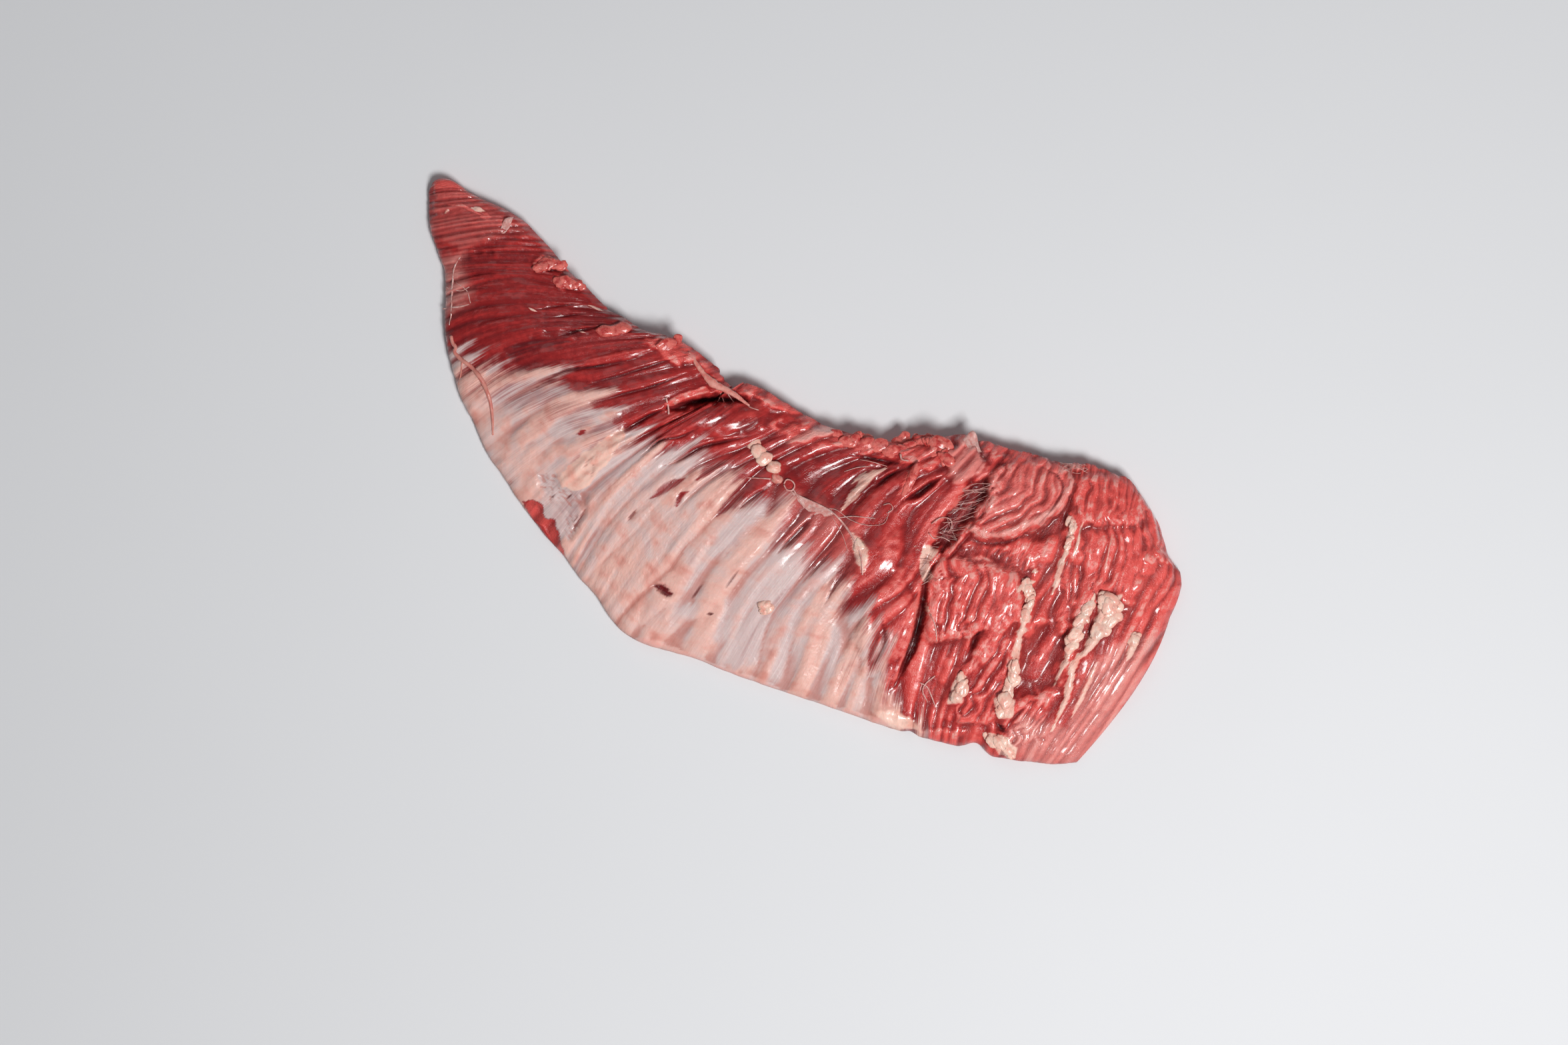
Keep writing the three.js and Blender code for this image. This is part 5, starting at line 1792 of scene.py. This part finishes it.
    def gloss(self, tree: Tree, groups: Groups, place: Socket, shader: Node) -> None:
        """The roughness, the film of juice and the fine relief."""
        fascia, rim = tree.mask("fascia"), tree.mask("rim")
        drawn = tree.node("VectorMath", {0: place, 1: (1.0, 0.55, 1.0)}, operation="MULTIPLY").outputs[0]
        depth = tree.fit(tree.mask("bright"), 0.2, 0.7, 0.2, 0.75)
        depth = tree.plus(depth, tree.times(tree.times(tree.mask("warm"), fascia), 0.25))
        inputs = {"Place": drawn, "Depth": depth}
        wet, soft = (
            tree.node("Group", {**inputs, "Size": size}, node_tree=groups.wrinkles).outputs
            for size in (1.7, 4.2)
        )
        skin = tree.fit(fascia, 0.2, 0.9)
        relief = tree.plus(tree.times(wet["Height"], tree.minus(1.0, skin)), tree.times(soft["Height"], skin))
        fine = self.streak(tree, groups, place, 0.8, 22.0, 14.0)
        tree.relief(tree.plus(relief, tree.times(fine, tree.fit(fascia, 0, 1, 0.06, 0.02))), shader)
        rough = tree.plus(tree.fit(wet["Film"], 0, 1, 0.33, 0.16), tree.times(fascia, 0.14))
        tree.put(tree.plus(rough, tree.times(rim, 0.1)), shader, "Roughness")
        dry = tree.times(tree.fit(fascia, 0.2, 1.0, 1.0, 0.3), tree.fit(rim, 0, 1, 1.0, 0.5))
        tree.put(tree.times(tree.fit(wet["Film"], 0.25, 0.95, 0.06, 1.0), dry), shader, "Coat Weight")


@dataclass(frozen=True)
class TrimFinish:
    """The finish of a loose piece: two colours in soft clouds, a lumpy skin and a wet coat."""

    name: str
    pale: Colour
    deep: Colour
    cloud: float = 2.6
    depth: float = 0.25
    wet: float = 0.5
    shell: WetShell = WetShell(scatter=0.2)

    def make(self, groups: Groups) -> bpy.types.Material:
        """Builds the material.

        Args:
            groups: The shared node groups.

        Returns:
            The material.
        """
        material, tree, shader = new_material(self.name)
        place = tree.scaled(tree.node("TexCoord").outputs["Object"], 1 / MM)
        cloud = tree.cloud(place, 1 / self.cloud, 3.0)
        tree.put(tree.blend(tree.fit(cloud, 0.38, 0.68), self.pale, self.deep), shader, "Base Color")
        inputs = {"Place": place, "Size": 1.6, "Depth": self.depth}
        wrinkles = tree.node("Group", inputs, node_tree=groups.wrinkles).outputs
        tree.relief(wrinkles["Height"], shader)
        tree.put(tree.fit(wrinkles["Film"], 0, 1, 0.5, 0.3), shader, "Roughness")
        tree.put(tree.fit(wrinkles["Film"], 0, 1, self.wet * 0.4, self.wet), shader, "Coat Weight")
        self.shell.apply(shader)
        return material


SOFT_FAT = TrimFinish("soft_fat", (0.94, 0.60, 0.49), (0.86, 0.40, 0.32), 3.4, 0.3, 0.6)
CORAL_MEAT = TrimFinish("coral_meat", (0.78, 0.17, 0.14), (0.50, 0.035, 0.032), 2.6, 0.5, 0.7)
PINK_TISSUE = TrimFinish("pink_tissue", (0.76, 0.33, 0.27), (0.66, 0.18, 0.15), 2.4, 0.3, 0.8)
MEMBRANE = TrimFinish("membrane", (0.72, 0.42, 0.38), (0.62, 0.24, 0.21), 2.0, 0.15, 0.7)
VEIN_SKIN = TrimFinish("vein_skin", (0.66, 0.27, 0.22), (0.58, 0.17, 0.14), 3.0, 0.12, 0.5)


# --- floor, light and camera


@dataclass(frozen=True)
class Lamp:
    """A square area light that looks at the steak: metres and watts."""

    name: str
    place: tuple[float, float, float]
    size: float
    power: float

    def hang(self) -> None:
        """Puts the light in the scene."""
        light = bpy.data.lights.new(self.name, "AREA")
        light.energy = self.power
        light.size = self.size
        lamp = bpy.data.objects.new(self.name, light)
        lamp.location = self.place
        lamp.rotation_euler = (-Vector(self.place)).to_track_quat("-Z", "Y").to_euler()
        bpy.context.collection.objects.link(lamp)


@dataclass
class Studio:
    """A plain pale floor, soft light from the photograph's lower right, and a camera straight above."""

    floor_colour: Colour = (0.76, 0.765, 0.78)
    floor_half: float = 3000.0
    lamps: tuple[Lamp, ...] = (
        Lamp("window", (0.5, -0.64, 1.5), 0.5, 25.5),
        Lamp("fill", (-0.7, 1.2, 1.6), 1.6, 4),
    )
    sky: Colour = (0.93, 0.95, 1.0)
    sky_strength: float = 0.13
    lens: float = 80.0
    sensor: float = 36.0
    focus_height: float = 12.0  # the height at which the frame's scale is exact, in millimetres

    def floor(self) -> None:
        """Makes the floor."""
        material, tree, shader = new_material("pale_floor")
        grain = tree.node("TexNoise", {"Scale": 9.0, "Detail": 4.0})
        low = tuple(c * 0.97 for c in self.floor_colour)
        colour = tree.blend(tree.fit(grain.outputs["Fac"], 0.35, 0.65), low, self.floor_colour)
        tree.put(colour, shader, "Base Color")
        tree.put(0.75, shader, "Roughness")
        square = np.array([(-1, -1, 0), (1, -1, 0), (1, 1, 0), (-1, 1, 0)])
        floor = new_piece("floor", square * self.floor_half, [(0, 1, 2, 3)])
        floor.data.materials.append(material)
        floor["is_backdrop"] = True

    def light(self) -> None:
        """Makes the lights and the sky."""
        for lamp in self.lamps:
            lamp.hang()
        world = bpy.data.worlds.new("studio")
        world.use_nodes = True
        background = world.node_tree.nodes["Background"]
        background.inputs["Color"].default_value = (*self.sky, 1.0)
        background.inputs["Strength"].default_value = self.sky_strength
        bpy.context.scene.world = world

    def camera(self, shift: Array) -> None:
        """Makes the camera, whose frame is the photograph's."""
        middle = from_photo([(PHOTO_WIDTH_PX / 2, PHOTO_HEIGHT_PX / 2)])[0] + shift
        distance = PHOTO_WIDTH_PX * PIXEL_MM * self.lens / self.sensor
        data = bpy.data.cameras.new("camera")
        data.lens = self.lens
        data.sensor_width = self.sensor
        data.clip_end = 20.0
        camera = bpy.data.objects.new("camera", data)
        camera.location = (middle[0] * MM, middle[1] * MM, (self.focus_height + distance) * MM)
        bpy.context.collection.objects.link(camera)
        bpy.context.scene.camera = camera

    def build(self, shift: Array) -> None:
        """Makes the floor, the lights and the camera, and sets how light becomes colour."""
        self.floor()
        self.light()
        self.camera(shift)
        bpy.context.scene.view_settings.view_transform = "Standard"


# --- the whole scene


def corners() -> list[list[float]]:
    """The shown model's lowest and highest corner as plain lists."""
    return [[float(c) for c in corner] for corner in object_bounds()]


def main() -> None:
    """Builds the steak piece by piece."""
    logging.basicConfig(level=logging.INFO, format="%(message)s")
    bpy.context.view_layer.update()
    groups = Groups(grain_streaks_group(), wet_wrinkles_group())
    surface = SteakSurface()
    body = surface.build()
    body.data.materials.append(SteakFinish().make(groups))
    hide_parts(NODE)
    trimmings = Trimmings(surface)
    threads = [strand for fan in TORN_THREADS for strand in fan.strands()]
    lobes_of_fat = [lump for cluster in FAT_CLUSTERS for lump in cluster.lumps()]
    lobes_of_meat = [lump for cluster in CORAL_CLUSTERS for lump in cluster.lumps()]
    loose = (
        ("pink_bits", PINK_BITS, PINK_TISSUE),
        ("fat_lumps", (*FAT_LUMPS, *lobes_of_fat), SOFT_FAT),
        ("coral_bits", (*CORAL_BITS, *lobes_of_meat), CORAL_MEAT),
        ("web_strands", WEB_STRANDS, MEMBRANE),
        ("torn_threads", threads, MEMBRANE),
        ("vein", VEIN, VEIN_SKIN),
    )
    pieces = [body]
    materials = {finish: finish.make(groups) for _, _, finish in loose}
    for name, items, finish in loose:
        piece = trimmings.build(name, items)
        piece.data.materials.append(materials[finish])
        pieces.append(piece)
    for piece in pieces:
        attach(piece, BODY)
        LOG.info("%s: %d faces", piece.name, len(piece.data.polygons))
    Studio().build(surface.shift)


if __name__ == "__main__":
    main()
